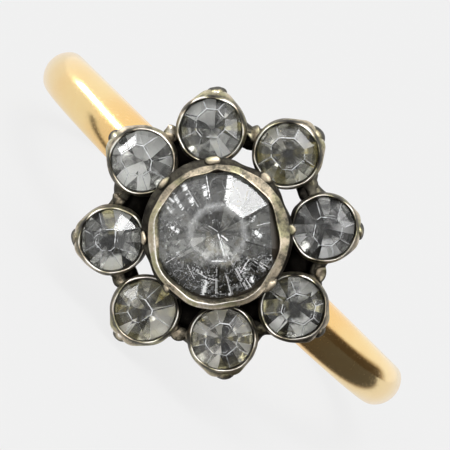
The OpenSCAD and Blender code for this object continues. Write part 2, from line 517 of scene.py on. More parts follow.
@dataclass(frozen=True)
class WornGold:
    """Polished yellow gold that has been worn: soft cloudy patches and fine scratches.

    The front of the hoop is painted a deeper orange, a painted reflection: `front` holds the distances across
    the ring in millimetres between which that starts and is full, and its share.
    """

    yellow: Colour = (0.95, 0.73, 0.37)
    deep: Colour = (0.93, 0.57, 0.21)
    polish: float = 0.13
    scuffed: float = 0.25
    cloud_size: float = 3.0
    fine_size: float = 0.9
    cross_size: float = 1.3
    pit_size: float = 0.12
    relief: float = 0.0012
    front: Triple = (7.5, 4.5, 0.45)

    def material(self) -> Material:
        """Makes the material.

        Returns:
            The material.
        """
        paint, material = Paint.of_material("worn_gold")
        place = paint.place()
        cloud = paint.noise(place, self.cloud_size, 3.0).fade(0.35, 0.65)
        fine = paint.noise(paint.stretched(place, (0, 5, 8), (1.0, 14.0, 14.0)), self.fine_size, 3.0)
        cross = paint.noise(paint.stretched(place, (0, -10, -16), (1.0, 18.0, 18.0)), self.cross_size, 2.0)
        scratch = fine.fade(0.60, 0.72) + cross.fade(0.62, 0.72)
        relief = scratch * 0.6 + paint.noise(place, self.pit_size, 2.0) * 0.4
        # Painted reflection: the front of the hoop is painted a deeper orange; the cloudy patches take the
        # same colour as real tone.
        start, full, share = self.front
        near = abs(paint.dot(place, (1.0, 0.0, 0.0))).fade(start, full)
        shader = paint.surface(
            Base_Color=paint.mix(cloud * 0.35 + near * share, self.yellow, self.deep),
            Metallic=1.0,
            Roughness=self.polish + cloud * 0.05 + scratch * (self.scuffed - self.polish),
            Normal=paint.bump(relief, self.relief),
        )
        paint.finish(shader)
        return material


@dataclass(frozen=True)
class OldSilver:
    """Old silver that is nearly black where nothing rubs it and warm and bright on its rims."""

    black: Colour = (0.016, 0.014, 0.012)
    grey: Colour = (0.085, 0.078, 0.060)
    tan: Colour = (0.50, 0.425, 0.315)
    olive: Colour = (0.37, 0.345, 0.21)
    bright: Colour = (0.96, 0.925, 0.86)
    patch_size: float = 0.55
    grain_size: float = 0.10
    tint_size: float = 0.8
    patch_share: float = 0.95
    grain_share: float = 0.45
    relief: float = 0.016

    def material(self) -> Material:
        """Makes the material.

        Returns:
            The material.
        """
        paint, material = Paint.of_material("old_silver")
        place = paint.place()
        patches = paint.noise(place, self.patch_size, 4.0, 0.6)
        grain = paint.noise(place, self.grain_size, 3.0, 0.6)
        tints = paint.noise(place, self.tint_size, 2.0)
        rubbed = paint.attribute("wear") + (patches - 0.5) * self.patch_share
        rubbed = rubbed + (grain - 0.5) * self.grain_share
        dark = paint.mix(rubbed.fade(0.05, 0.50), self.black, self.grey)
        gilt = paint.mix(tints.fade(0.45, 0.60), self.tan, self.olive)
        warm = paint.mix(rubbed.fade(0.45, 0.80), dark, gilt)
        colour = paint.mix(rubbed.fade(0.80, 1.15), warm, self.bright)
        relief = grain * 0.45 + patches * 0.55
        shader = paint.surface(
            Base_Color=colour,
            Metallic=1.0,
            Roughness=0.50 - rubbed.fade(0.3, 1.2) * 0.20 + grain * 0.10,
            Normal=paint.bump(relief, self.relief),
        )
        paint.finish(shader)
        return material


@dataclass(frozen=True)
class Stroke:
    """A straight frosted mark in a stone's face, solid or broken into short nicks: bruises, and painted
    glints.

    Its ends and its width are in pixels of the photograph, to the right of and above the stone's axis.
    """

    start: tuple[float, float]
    end: tuple[float, float]
    width: float
    strength: float
    broken: bool = False

    def shade(self, paint: Paint, place: Value) -> Value:
        """How frosted the stroke makes each place.

        Args:
            paint: Tree to add to.
            place: Millimetres from the stone's axis.

        Returns:
            A value from 0 to the stroke's strength.
        """
        start, end = np.array(self.start) / PHOTO_SCALE, np.array(self.end) / PHOTO_SCALE
        length = float(np.linalg.norm(end - start))
        angle = bearing(end - start)
        ahead = paint.towards(place, angle) - float(start @ turned(angle))
        half, soft = self.width / 2 / PHOTO_SCALE, min(0.08, length / 3)
        ragged = (paint.noise(place, 0.08, 2.0) - 0.5) * half * (1.5 if self.broken else 3.5)
        across = abs(paint.towards(place, angle + 90) - float(start @ turned(angle + 90))) + ragged
        row = across.fade(half * 1.5, half * 0.4)
        row = row * ahead.fade(0.0, soft) * ahead.fade(length, length - soft)
        if self.broken:
            nicks = paint.noise(paint.stretched(place, (0, 0, angle + 12), (19.0, 2.0, 1.0)), 0.8, 3.0)
            row = row * nicks.fade(0.47, 0.55)
        return row * self.strength


@dataclass(frozen=True)
class Spot:
    """A frosted cluster in a stone's face: small chips, and painted glints. Its place and radius are in
    pixels, as a stroke's.
    """

    at: tuple[float, float]
    radius: float
    strength: float

    def shade(self, paint: Paint, place: Value) -> Value:
        """How frosted the cluster makes each place.

        Args:
            paint: Tree to add to.
            place: Millimetres from the stone's axis.

        Returns:
            A value from 0 to the cluster's strength.
        """
        reach = self.radius / PHOTO_SCALE
        distance = paint.distance(place, self.at[0] / PHOTO_SCALE, self.at[1] / PHOTO_SCALE)
        crumbs = paint.noise(place, CRUMB, 3.0, 0.7) + distance.fade(reach, 0.0) * 0.04
        return crumbs.fade(0.58, 0.65) * distance.fade(reach, reach * 0.4) * self.strength


@dataclass(frozen=True)
class Paste:
    """Clear lead paste with frosted worn edges, scratches, painted glints, a painted dark star, and darkening
    where it meets its rim.

    Angles are in degrees from the photograph's right, and sizes are in millimetres. The stone is cracked on
    the side at `crack_at`, beyond `crack_reach`, and darker there. Chips crowd on the side at `speckle_at`,
    and dust lies on all but the side at `clean_at`. A dark lump at the rim has an angle, the distance at
    which it starts and half its width. Each of the stains has its place and its radius in pixels of the
    photograph, as strokes and spots have. A dark star is painted in the middle, a painted dark reflection.
    """

    name: str
    open_r: float
    tint: Colour
    haze: float
    line: float = 0.011
    line_strength: float = 0.9
    ring: float = 0.0
    ring_w: float = 0.20
    cloud: float = 0.05
    speckle: float = 0.5
    speckle_at: float = -60.0
    strokes: tuple[Stroke | Spot, ...] = ()
    crack_at: float | None = None
    crack_reach: float = 1.0
    dark_lumps: tuple[Triple, ...] = ()
    # Radius of the painted dark star in the middle, a painted dark reflection, and strength of the dark
    # clouds.
    dark_star_r: float = 0.0
    dark_cloud: float = 0.0
    dust: float = 0.0
    clean_at: float = 53.0
    stains: tuple[Triple, ...] = ()
    splinter: float = 0.48
    groove: float = 0.85
    frost: Colour = (0.52, 0.53, 0.54)
    dark_hue: Colour = (0.035, 0.032, 0.024)
    umber: Colour = (0.31, 0.27, 0.16)
    rim_dark: Colour = (0.020, 0.015, 0.009)

    def worn_edges(self, paint: Paint, place: Value) -> Value:
        """Thin broken lines along the facets' edges, brightest and doubled in places round the table.

        Args:
            paint: Tree to add to.
            place: Millimetres from the stone's axis.

        Returns:
            How frosted each place is, from 0 to 1.
        """
        rim = paint.attribute("rim")
        distance = paint.attribute("edge") + (paint.noise(place, 0.16, 2.0) - 0.5) * 0.05
        cloud, other = paint.noise(place, 0.5, 2.0), paint.noise(place, 0.38, 1.0)
        width = cloud.fade(0.35, 0.65) * self.line + self.line * 0.5
        first = (width - abs(distance)).fade(-0.009, 0.005) * (cloud + rim * 0.10).fade(0.43, 0.53)
        first = first * (rim * 0.45 + 0.55)
        double = (self.line * 0.7 - abs(distance - 0.10)).fade(-0.008, 0.004)
        double = double * rim * other.fade(0.52, 0.62) * 0.6
        return first.over(double) * self.line_strength

    def frosting(self, paint: Paint, place: Value) -> Value:
        """Soft frosting on both sides of the table's edge, and a thin cloud over the whole face.

        Args:
            paint: Tree to add to.
            place: Millimetres from the stone's axis.

        Returns:
            How frosted each place is, from 0 to 1.
        """
        distance, rim = paint.attribute("edge"), paint.attribute("rim")
        patch = paint.noise(place, 0.35, 3.0, 0.6).fade(0.25, 0.75)
        ring = distance.fade(self.ring_w, 0.0) * rim * (patch * 0.5 + 0.5) * self.ring
        cloud = paint.noise(place, 0.9, 4.0, 0.6).fade(0.25, 0.75) * self.cloud
        if self.crack_at is not None:
            sound = self.cracked(paint, place, patch).fade(self.crack_reach + 0.1, self.crack_reach - 0.2)
            cloud = cloud * sound
        return ring + cloud

    def chips(self, paint: Paint, place: Value) -> Value:
        """Fine chips crowded along the table's edge on the side that takes the knocks.

        Args:
            paint: Tree to add to.
            place: Millimetres from the stone's axis.

        Returns:
            How frosted each place is, from 0 to 1.
        """
        distance, rim = paint.attribute("edge"), paint.attribute("rim")
        side = paint.towards(place, self.speckle_at).fade(-0.1, 0.5)
        fine = paint.noise(place, CRUMB, 3.0, 0.7)
        crowded = distance.fade(0.22, 0.04) * rim * side * fine.fade(0.54, 0.66) * self.speckle
        if not self.dust:
            return crowded
        patch = paint.noise(paint.stretched(place, (0, 0, 35), (1.0, 2.5, 1.0)), 0.5, 3.0, 0.6)
        patch = patch.fade(0.50, 0.60)
        dusty = paint.towards(place, self.clean_at).fade(1.0, 0.5) * patch
        return crowded.over(fine.fade(0.56, 0.64) * dusty * self.dust)

    def cracked(self, paint: Paint, place: Value, patch: Value) -> Value:
        """Distance towards the side of the stone that is cracked, made uneven."""
        return paint.towards(place, self.crack_at or 0.0) + (patch - 0.5) * 1.1

    def rays(self, paint: Paint, place: Value, width: float) -> Value:
        """Noise that changes only round the stone, so that it runs in rays a width in radians apart."""
        return paint.noise(paint.vector("NORMALIZE", {0: paint.flat(place)}), width, 2.0)

    def dark_star_and_patches(self, paint: Paint, place: Value) -> Value:
        """Darkening behind the face: a painted dark star of rays in the middle, clouds, stains and the side
        that is cracked.

        Args:
            paint: Tree to add to.
            place: Millimetres from the stone's axis.

        Returns:
            How dark each place is, from 0 to 1.
        """
        radius = paint.radius(place)
        clouds = paint.noise(place, 0.24, 5.0, 0.7)
        # Painted dark star: a dark reflection painted into the paste's colour, in rays round the middle.
        reach = (self.rays(paint, place, 0.16) - 0.5) * 2.4 + (clouds - 0.5) * 1.2 + 0.62
        star = (radius / reach.over(0.05)).fade(self.dark_star_r * 2.2, self.dark_star_r * 0.7) * 0.92
        spikes = self.rays(paint, place, 0.11).fade(0.50, 0.56) * (radius + (clouds - 0.5)).fade(0.80, 0.30)
        star = star.over(spikes * 0.97)
        dark_star_and_stains = star.over(clouds.fade(0.46, 0.60) * self.dark_cloud)
        for x, y, size in self.stains:
            spot = paint.distance(place, x / PHOTO_SCALE, y / PHOTO_SCALE) + (clouds - 0.5) * 0.6
            dark_star_and_stains = dark_star_and_stains.over(spot.fade(size / PHOTO_SCALE, size / PHOTO_SCALE * 0.5) * 0.9)
        if self.crack_at is not None:
            side = self.cracked(paint, place, clouds.fade(0.3, 0.7))
            side = side + (self.rays(paint, place, 0.2) - 0.5) * 0.9
            dark_star_and_stains = dark_star_and_stains.over(side.fade(self.crack_reach - 0.8, self.crack_reach + 0.35) * 0.92)
        return dark_star_and_stains

    def cracks(self, paint: Paint, place: Value) -> Value:
        """Splinters on one side of the stone: frosted cells, their broken edges, crumbs and short rays.

        Args:
            paint: Tree to add to.
            place: Millimetres from the stone's axis.

        Returns:
            How frosted each place is, from 0 to 1.
        """
        warp = (paint.noise(place, 0.25, 2.0) - 0.5) * 0.07
        bent = paint.vector("ADD", {0: place, 1: warp})
        patch, breaks = paint.noise(place, 0.35, 2.0), paint.noise(place, 0.16, 2.0)
        tone = paint.cells(bent, self.splinter, output="Color")
        frosted = tone.fade(0.60, 0.64) * breaks.fade(0.44, 0.54) * 0.16
        edges = paint.cells(bent, self.splinter, "DISTANCE_TO_EDGE").fade(0.045, 0.005)
        edges = edges * breaks.fade(0.50, 0.56)
        crumbs = paint.noise(place, 0.10, 3.0, 0.7).fade(0.61, 0.65) * patch.fade(0.54, 0.60)
        rays = abs(self.rays(paint, place, 0.24) - 0.5).fade(0.010, 0.002)
        short = rays * patch.fade(0.58, 0.50)
        where = self.cracked(paint, place, patch).fade(self.crack_reach, self.crack_reach + 0.25)
        lines = (edges * 0.35).over(short * 0.7)
        return lines.over(crumbs * 0.9).over(frosted) * where

    def scratches(self, paint: Paint, place: Value) -> Value:
        """Sparse hair lines in three directions.

        Args:
            paint: Tree to add to.
            place: Millimetres from the stone's axis.

        Returns:
            How frosted each place is, from 0 to 1.
        """
        lines: Value | float = 0.0
        for turn, stretch, size in ((35, 26.0, 0.7), (-62, 26.0, 0.6), (80, 20.0, 0.5)):
            hairs = paint.noise(paint.stretched(place, (0, 0, turn), (1.0, stretch, 1.0)), size)
            lines = hairs.fade(0.66, 0.75) + lines
        return lines * 0.35

    def rim_darkening(self, paint: Paint, place: Value) -> Value:
        """Darkening in the corner between the stone and its rim, a broken dark line beside the table's edge,
        and dark lumps at the rim.

        Args:
            paint: Tree to add to.
            place: Millimetres from the stone's axis.

        Returns:
            How much of each place is covered, from 0 to 1.
        """
        radius = paint.radius(place)
        cloud = paint.noise(place, 0.4, 2.0) - 0.5
        rim_dark = (radius + cloud * 0.10).fade(self.open_r - 0.07, self.open_r - 0.005)
        distance, rim = paint.attribute("edge"), paint.attribute("rim")
        breaks = paint.noise(place, 0.42, 2.0).fade(0.50, 0.55)
        line = (0.008 - abs(distance - 0.045)).fade(-0.010, 0.004) * rim * breaks * self.groove
        rim_dark = rim_dark.over(line)
        for angle, reach, half in self.dark_lumps:
            ahead = paint.towards(place, angle)
            beside = abs(paint.towards(place, angle + 90))
            dark_lumps = (ahead + cloud * 0.06).fade(reach - 0.03, reach + 0.03)
            rim_dark = rim_dark.over(dark_lumps * beside.fade(half * 1.1, half * 0.9))
        return rim_dark

    def material(self) -> Material:
        """Makes the material of the faces that show.

        Returns:
            The material.
        """
        paint, material = Paint.of_material(self.name)
        place = paint.local()
        smear = paint.noise(place, 0.7, 4.0, 0.65).fade(0.35, 0.75)
        tint: Value | tuple = (*self.tint, 1.0)
        # The paste's colour darkens to a painted dark star in the middle, a painted dark reflection, and to
        # darker patches.
        if self.dark_star_r:
            dark_star_and_stains = paint.mix(paint.noise(place, 0.45, 3.0).fade(0.52, 0.60), self.dark_hue, self.umber)
            tint = paint.mix(self.dark_star_and_patches(paint, place), self.tint, dark_star_and_stains)
        clear = paint.surface(Base_Color=tint, Roughness=smear * self.haze, IOR=1.58, Transmission_Weight=1.0)
        frost = paint.surface(Base_Color=(*self.frost, 1.0), Roughness=0.5, Specular_IOR_Level=0.5)
        rim_dark = paint.surface(Base_Color=(*self.rim_dark, 1.0), Roughness=0.45)
        bruise_and_glint = self.worn_edges(paint, place)
        for mark in [self.chips, self.frosting, self.scratches] + [self.cracks] * (self.crack_at is not None):
            bruise_and_glint = bruise_and_glint.over(mark(paint, place))
        # Strokes and spots frost the face white: bruises, and painted glints.
        for stroke in self.strokes:
            bruise_and_glint = bruise_and_glint.over(stroke.shade(paint, place))
        shown = paint.blend(bruise_and_glint, clear, frost)
        paint.finish(paint.blend(self.rim_darkening(paint, place), shown, rim_dark))
        return material


@dataclass(frozen=True)
class OldFoil:
    """Silvered foil at the back of a stone, gone dull, dark in patches and creased.

    Each facet has a painted shade and a tint of its own. The shades are painted light and shade: they stand
    for the light and dark wedges that the facets reflect, a few facets are painted white as glints, and some
    take a painted yellow reflection. The shade of a facet changes outwards by `run`, and is its own at
    `run_r`.
    A dark star is painted round the point, a painted dark reflection, and the foil is darker on the side of
    the stone at `dark_side_at`, beyond `dark_side_reach`.
    """

    name: str
    silver: Colour = (0.97, 0.97, 0.95)
    flash: Colour = (0.86, 0.80, 0.50)
    brown: Colour = (0.040, 0.036, 0.024)
    flash_share: float = 0.2
    spark_share: float = 0.10
    dark_share: float = 0.4
    star_r: float = 0.30
    star: float = 0.6
    dark_side_at: float | None = None
    dark_side_reach: float = 0.9
    metal: float = 0.86
    sheen: float = 0.05
    crease: float = 0.0011
    patch: float = 0.5
    run: float = 1.5
    run_r: float = 0.7

    def material(self) -> Material:
        """Makes the material.

        Returns:
            The material.
        """
        paint, material = Paint.of_material(self.name)
        place = paint.local()
        patches = paint.noise(place, self.patch, 4.0, 0.6)
        radius = paint.radius(place)
        crease = paint.noise(paint.stretched(place, (0, 0, 25), (5.0, 1.5, 5.0)), 0.35, 3.0)
        tone, tint = paint.attribute("tone"), paint.attribute("tint")
        # Painted glints: facets whose tint is below the spark share are painted white and less metallic.
        spark = tint.fade(self.spark_share + 0.01, self.spark_share - 0.01)
        dark = patches.fade(0.85 - self.dark_share * 0.5, 1.0 - self.dark_share * 0.5)
        # Painted dark star round the point: a painted dark reflection.
        star = (radius + (patches - 0.5) * self.star_r * 1.6).fade(self.star_r, self.star_r * 0.3)
        dark = dark.over(star * self.star)
        if self.dark_side_at is not None:
            dark_side = paint.towards(place, self.dark_side_at) + (patches - 0.5) * 0.8
            dark = dark.over(dark_side.fade(self.dark_side_reach, self.dark_side_reach + 0.3) * 0.9)
        # Painted highlights and shade: a painted yellow reflection on some facets, and each facet's painted
        # shade, which changes outwards.
        own = paint.mix(tint.fade(1.02 - self.flash_share, 1.04 - self.flash_share), self.silver, self.flash)
        shade = tone + (radius - self.run_r) * (tint - 0.5) * self.run
        dark = dark.over(1.0 - shade.over(spark))
        shader = paint.surface(
            Base_Color=paint.mix(dark, own, self.brown),
            Metallic=self.metal - spark * 0.5,
            Roughness=self.sheen + patches * 0.08,
            Normal=paint.bump(crease, self.crease),
        )
        paint.finish(shader)
        return material


@dataclass
class Marks:
    """Numbers that a mesh holds for its materials: each has a name, a type, a domain and flat values."""

    name: str
    kind: str
    domain: str
    values: Array

    def put(self, mesh: bpy.types.Mesh) -> None:
        """Writes the numbers into the mesh."""
        data = mesh.attributes.new(self.name, self.kind, self.domain).data
        data.foreach_set("vector" if self.kind == "FLOAT_VECTOR" else "value", self.values.astype(np.float32))


class Bench:
    """Builds finished pieces on the CAD frame. All of them ride on its one body."""

    def __init__(self, head: HeadFrame) -> None:
        """Keeps the head frame that every piece is placed by."""
        self.head = head

    def add(
        self,
        name: str,
        skin: Skin,
        finishes: list[Material],
        slot: Slot,
        node: str,
        marks: tuple[Marks, ...] = (),
    ) -> bpy.types.Object:
        """Adds a piece. Light runs smoothly over it unless it has facets, which come with marks.

        Args:
            name: Its name.
            skin: Its shape in the head frame.
            finishes: Materials in the order of the skin's finishes.
            slot: The record's slot for its finish. Not used.
            node: The CAD node that it stands for.
            marks: Numbers for its materials.

        Returns:
            The object.
        """
        faces = [face for group, _ in skin.groups for face in group.tolist()]
        finish = np.concatenate([np.broadcast_to(number, len(group)) for group, number in skin.groups])
        mesh = bpy.data.meshes.new(name)
        mesh.from_pydata(self.head.place(skin.points).tolist(), [], faces)
        mesh.polygons.foreach_set("material_index", finish.astype(np.int32))
        mesh.polygons.foreach_set("use_smooth", np.full(len(faces), not marks))
        Marks("wear", "FLOAT", "POINT", skin.wear).put(mesh)
        for mark in marks:
            mark.put(mesh)
        for material in finishes:
            mesh.materials.append(material)
        mesh.update()
        piece = bpy.data.objects.new(name, mesh)
        bpy.context.scene.collection.objects.link(piece)
        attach(piece, "root")
        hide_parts(node)
        LOG.info("%s: %d points, %d faces", name, len(skin.points), len(faces))
        return piece


@dataclass
class Shank:
    """The gold hoop: half round outside, wide under the flower and narrow at the back.

    Its width at the sides of the finger hole is `side_w`. From there it changes evenly with the height, to
    `back_w` at the back, and on the other side so that it would be `front_w` at the height `front_at`.
    """

    bore_r: float = 8.5
    thickness: float = 1.2
    dome_r: float = 1.08
    front_w: float = 2.16
    side_w: float = 1.90
    back_w: float = 1.60
    front_at: float = 10.7
    seat: float = 9.2
    unevenness: float = 0.012
    bump_size: float = 5.0
    seed: int = 3
    columns: int = 400
    dome_points: int = 25
    side_points: int = 6
    inner_points: int = 14
    softening: int = 5

    def outline(self, width: Array) -> Array:
        """Closed outline of the section for each width.

        It runs over the dome, down one side, along the finger hole and up the other side. Each point then
        moves a few times to the mean of itself and its neighbours, which rounds the edges.

        Args:
            width: Width of the band, one for each column.

        Returns:
            Places across and distances from the middle of the hole as (points, columns, 2).
        """
        outer = self.bore_r + self.thickness - self.dome_r
        steepest = np.arcsin(width / 2 / self.dome_r)
        slope = np.linspace(-1, 1, self.dome_points)[:, None] * steepest
        dome = np.stack([self.dome_r * np.sin(slope), outer + self.dome_r * np.cos(slope)], axis=-1)
        share = (np.arange(1, self.side_points) / self.side_points)[:, None]
        edge = dome[-1, :, 1]
        side = np.stack([share * 0 + width / 2, edge + (self.bore_r - edge) * share], axis=-1)
        across = (0.5 - np.arange(self.inner_points + 1) / self.inner_points)[:, None] * width
        inner = np.stack([across, np.full_like(across, self.bore_r)], axis=-1)
        other = side[::-1] * np.array([-1.0, 1.0])
        line = np.concatenate([dome, side, inner, other])
        for _ in range(self.softening):
            line = (np.roll(line, 1, axis=0) + 2 * line + np.roll(line, -1, axis=0)) / 4
        return line

    def skin(self) -> Skin:
        """Carries the outline round the hoop and flattens it where the flower's foot stands.

        Returns:
            The closed skin, whose outside is worn.
        """
        angles = ring_angles(self.columns)
        reach = self.bore_r + self.thickness
        widths = [self.back_w, self.side_w, self.front_w]
        width = np.interp(reach * np.cos(angles), [-reach, 0, self.front_at], widths)
        line = self.outline(width)
        across, radius = line[..., 0], line[..., 1]
        grid = np.stack([radius * np.sin(angles), across, radius * np.cos(angles)], axis=-1)
        outside = ((radius - self.bore_r) / self.thickness).clip(0, 1)
        radius = radius - self.unevenness * outside * (1 + wobble(grid, self.bump_size, self.seed))
        grid[..., 0], grid[..., 2] = radius * np.sin(angles), radius * np.cos(angles)
        grid[..., 2] = np.minimum(grid[..., 2], self.seat)
        return grid_skin(grid, outside, closed_rows=True)


@dataclass
class CutStone:
    """A faceted stone: what is left between the flat planes of its table, crown, girdle and pavilion."""

    name: str
    node: str
    middle: Array
    girdle: float
    girdle_r: float
    table_top: float
    culet: float
    table_r: float
    table_shift: Array
    turn: float
    mains: int = 8
    girdle_sides: int = 16
    pavilion_mains: int = 8
    half_r: float = 0.62
    half_sag: float = 0.13
    sag_range: tuple[float, float] = (0.7, 1.3)
    girdle_t: float = 0.08
    culet_r: float = 0.06
    angle_jitter: float = 1.0
    line_jitter: float = 0.02
    culet_jitter: float = 0.02
    # Painted shade of the foil behind the facets, for the light and dark that they reflect: its range and
    # spread.
    tones: tuple[float, float] = (0.25, 1.0)
    main_share: float = 0.3
    half_shares: tuple[float, float] = (0.05, 1.0)
    tone_jitter: float = 0.22
    least_tone: float = 0.02
    seed: int = 1
    planes: Array = field(init=False)
    depths: Array = field(init=False)

    def __post_init__(self) -> None:
        """Works out the planes. Each is a normal n and the depth d of the points with n.p = d."""
        rng = np.random.default_rng(self.seed)
        crown = self.girdle + self.girdle_t
        apothem = self.girdle_r * math.cos(math.pi / self.girdle_sides)
        cut: list[tuple[Array, Array]] = []
        for k in range(self.mains):
            a = self.turn + 360 / self.mains * (k + 0.5) + rng.normal() * self.angle_jitter
            inner = float(self.table_shift @ turned(a)) + self.table_r * math.cos(math.pi / self.mains)
            inner += rng.normal() * self.line_jitter
            cut.append(self._slope(a, (apothem, crown), (inner, self.table_top)))
        depth = self.girdle - self.culet
        for k in range(self.pavilion_mains):
            a = self.turn + 360 / self.pavilion_mains * k + rng.normal() * self.angle_jitter
            low = self.culet + rng.normal() * self.culet_jitter * depth
            cut.append(self._slope(a, (apothem, self.girdle), (self.culet_r, low), down=True))
        for k in range(2 * self.pavilion_mains):
            a = self.turn + 180 / self.pavilion_mains * (k + 0.5)
            a += rng.normal() * self.angle_jitter
            middle = (1 - self.half_r) * self.girdle_r
            fall = depth * (1 - (middle - self.culet_r) / (apothem - self.culet_r))
            low = self.girdle - fall * (1 - self.half_sag * rng.uniform(*self.sag_range))
            cut.append(self._slope(a, (apothem, self.girdle), (middle, low), down=True))
        for k in range(self.girdle_sides):
            a = self.turn + 360 / self.girdle_sides * (k + 0.5)
            cut.append((raised(a, 1.0, 0.0), raised(a, apothem, crown)))
        up = np.array([0.0, 0.0, 1.0])
        cut.append((up, np.array([0, 0, self.table_top])))
        cut.append((-up, np.array([0, 0, self.culet])))
        self.planes = np.array([normal for normal, _ in cut])
        self.depths = np.array([float(normal @ point) for normal, point in cut])

    @staticmethod
    def _slope(
        angle: float, outer: tuple[float, float], inner: tuple[float, float], down: bool = False
    ) -> tuple[Array, Array]:
        """Plane that faces an angle and passes through two radii and heights.

        Args:
            angle: The angle in degrees.
            outer: Its outer radius and height.
            inner: Its inner radius and height.
            down: Whether it faces down.

        Returns:
            Its normal and a point on it.
        """
        lean = math.atan2(abs(inner[1] - outer[1]), outer[0] - inner[0])
        normal = raised(angle, math.sin(lean), math.cos(lean) * (-1 if down else 1))
        return normal, raised(angle, *outer)

    def height(self, x: Array, y: Array) -> Array:
        """Height of the crown over places in the head frame: the lowest of its planes there.

        Args:
            x: Places across.
            y: Places along the finger.

        Returns:
            The heights.
        """
        up = self.planes[:, 2] > CROWN_RISE
        normals, depths = self.planes[up], self.depths[up]
        place = np.stack([x - self.middle[0], y - self.middle[1]], axis=-1)
        return ((depths - place @ normals[:, :2].T) / normals[:, 2]).min(axis=-1)

    def solid(self) -> tuple[Array, dict[int, Array]]:
        """Corners and faces of the solid between the planes.

        A corner is a point where three planes cross and that lies outside none. A face holds the corners
        on its plane, in the order of their angles round the face's middle.

        Returns:
            The corners, and for each plane the round of corner numbers of its face.
        """
        triples = np.array(list(itertools.combinations(range(len(self.depths)), 3)))
        matrices, sides = self.planes[triples], self.depths[triples]
        sound = np.abs(np.linalg.det(matrices)) > PARALLEL
        crossings = np.linalg.solve(matrices[sound], sides[sound][..., None])[..., 0]
        inside = (crossings @ self.planes.T <= self.depths + OUTSIDE).all(axis=1)
        corners = np.unique(np.round(crossings[inside], DIGITS), axis=0)
        faces = {}
        for number, (normal, depth) in enumerate(zip(self.planes, self.depths)):
            on = np.flatnonzero(np.abs(corners @ normal - depth) < ON_PLANE)
            if len(on) < 3:
                continue
            spread = corners[on] - corners[on].mean(axis=0)
            side = np.cross(normal, [0.3, 0.5, 0.8])
            faces[number] = on[np.argsort(np.arctan2(spread @ np.cross(normal, side), spread @ side))]
        return corners, faces

    def facet_tone(self, number: int, rng: np.random.Generator) -> float:
        """How bright the foil behind one plane is painted: a painted shade for the light and dark it
        reflects.

        It is even over the mains, and dark and light by turns over the halves.

        Args:
            number: The plane's number.
            rng: Source of its random part.

        Returns:
            The tone, from 0 to 1.
        """
        low, high = self.tones
        half = number - self.mains - self.pavilion_mains
        if not 0 <= half < 2 * self.pavilion_mains:
            return float(rng.uniform(low + (high - low) * self.main_share, high))
        share = self.half_shares[half % 2] + rng.normal() * self.tone_jitter
        return float(np.clip(low + (high - low) * share, self.least_tone, 1.0))

    def build(self, turn: float) -> tuple[Skin, tuple[Marks, ...]]:
        """Fans of triangles round the middle of each face, with glass in front and foil behind.

        Each corner of a triangle holds its distance from the triangle's outer side, which is zero at the
        face's edge, and whether that side lies on the table. Each face has a painted shade of its own, which
        stands for the light and dark that the facet reflects, and each point its place from the stone's axis.

        Args:
            turn: Angle in degrees that the photograph's right lies at.

        Returns:
            The skin and its marks.
        """
        corners, faces = self.solid()
        rng = np.random.default_rng(self.seed + 50)
        table = faces[int(np.argmax(self.planes[:, 2]))]
        points, triangles, finish, edge, rim, tone, tints = [corners], [], [], [], [], [], []
        for number, face in faces.items():
            centre = corners[face].mean(axis=0)
            own, tint = self.facet_tone(number, rng), float(rng.uniform())
            glass = self.planes[number][2] > CROWN_RISE
            hub = len(corners) + len(points) - 1
            points.append(centre[None])
            for a, b in zip(face, np.roll(face, -1)):
                side = corners[b] - corners[a]
                area = np.linalg.norm(np.cross(side, centre - corners[a]))
                triangles.append((a, b, hub))
                edge += [0.0, 0.0, float(area / max(np.linalg.norm(side), LEAST_SIDE))]
                rim += [float(a in table and b in table)] * 3
                tone.append(own)
                tints.append(tint)
                finish.append((StoneFinish.GLASS if glass else StoneFinish.FOIL).value)
        whole = np.concatenate(points)
        c, s = turned(turn)
        local = np.stack([whole[:, 0] * c + whole[:, 1] * s, whole[:, 1] * c - whole[:, 0] * s], axis=-1)
        local = np.concatenate([local, whole[:, 2:] - self.girdle], axis=1)
        placed = whole + np.array([*self.middle, 0.0])
        groups = [(np.array(triangles), np.array(finish))]
        marks = (
            Marks("local", "FLOAT_VECTOR", "POINT", local.reshape(-1)),
            Marks("edge", "FLOAT", "CORNER", np.array(edge)),
            Marks("rim", "FLOAT", "CORNER", np.array(rim)),
            # Painted shade of each facet's foil, and a random tint that picks its painted glints.
            Marks("tone", "FLOAT", "FACE", np.array(tone)),
            Marks("tint", "FLOAT", "FACE", np.array(tints)),
        )
        return Skin(placed, np.zeros(len(placed)), groups), marks


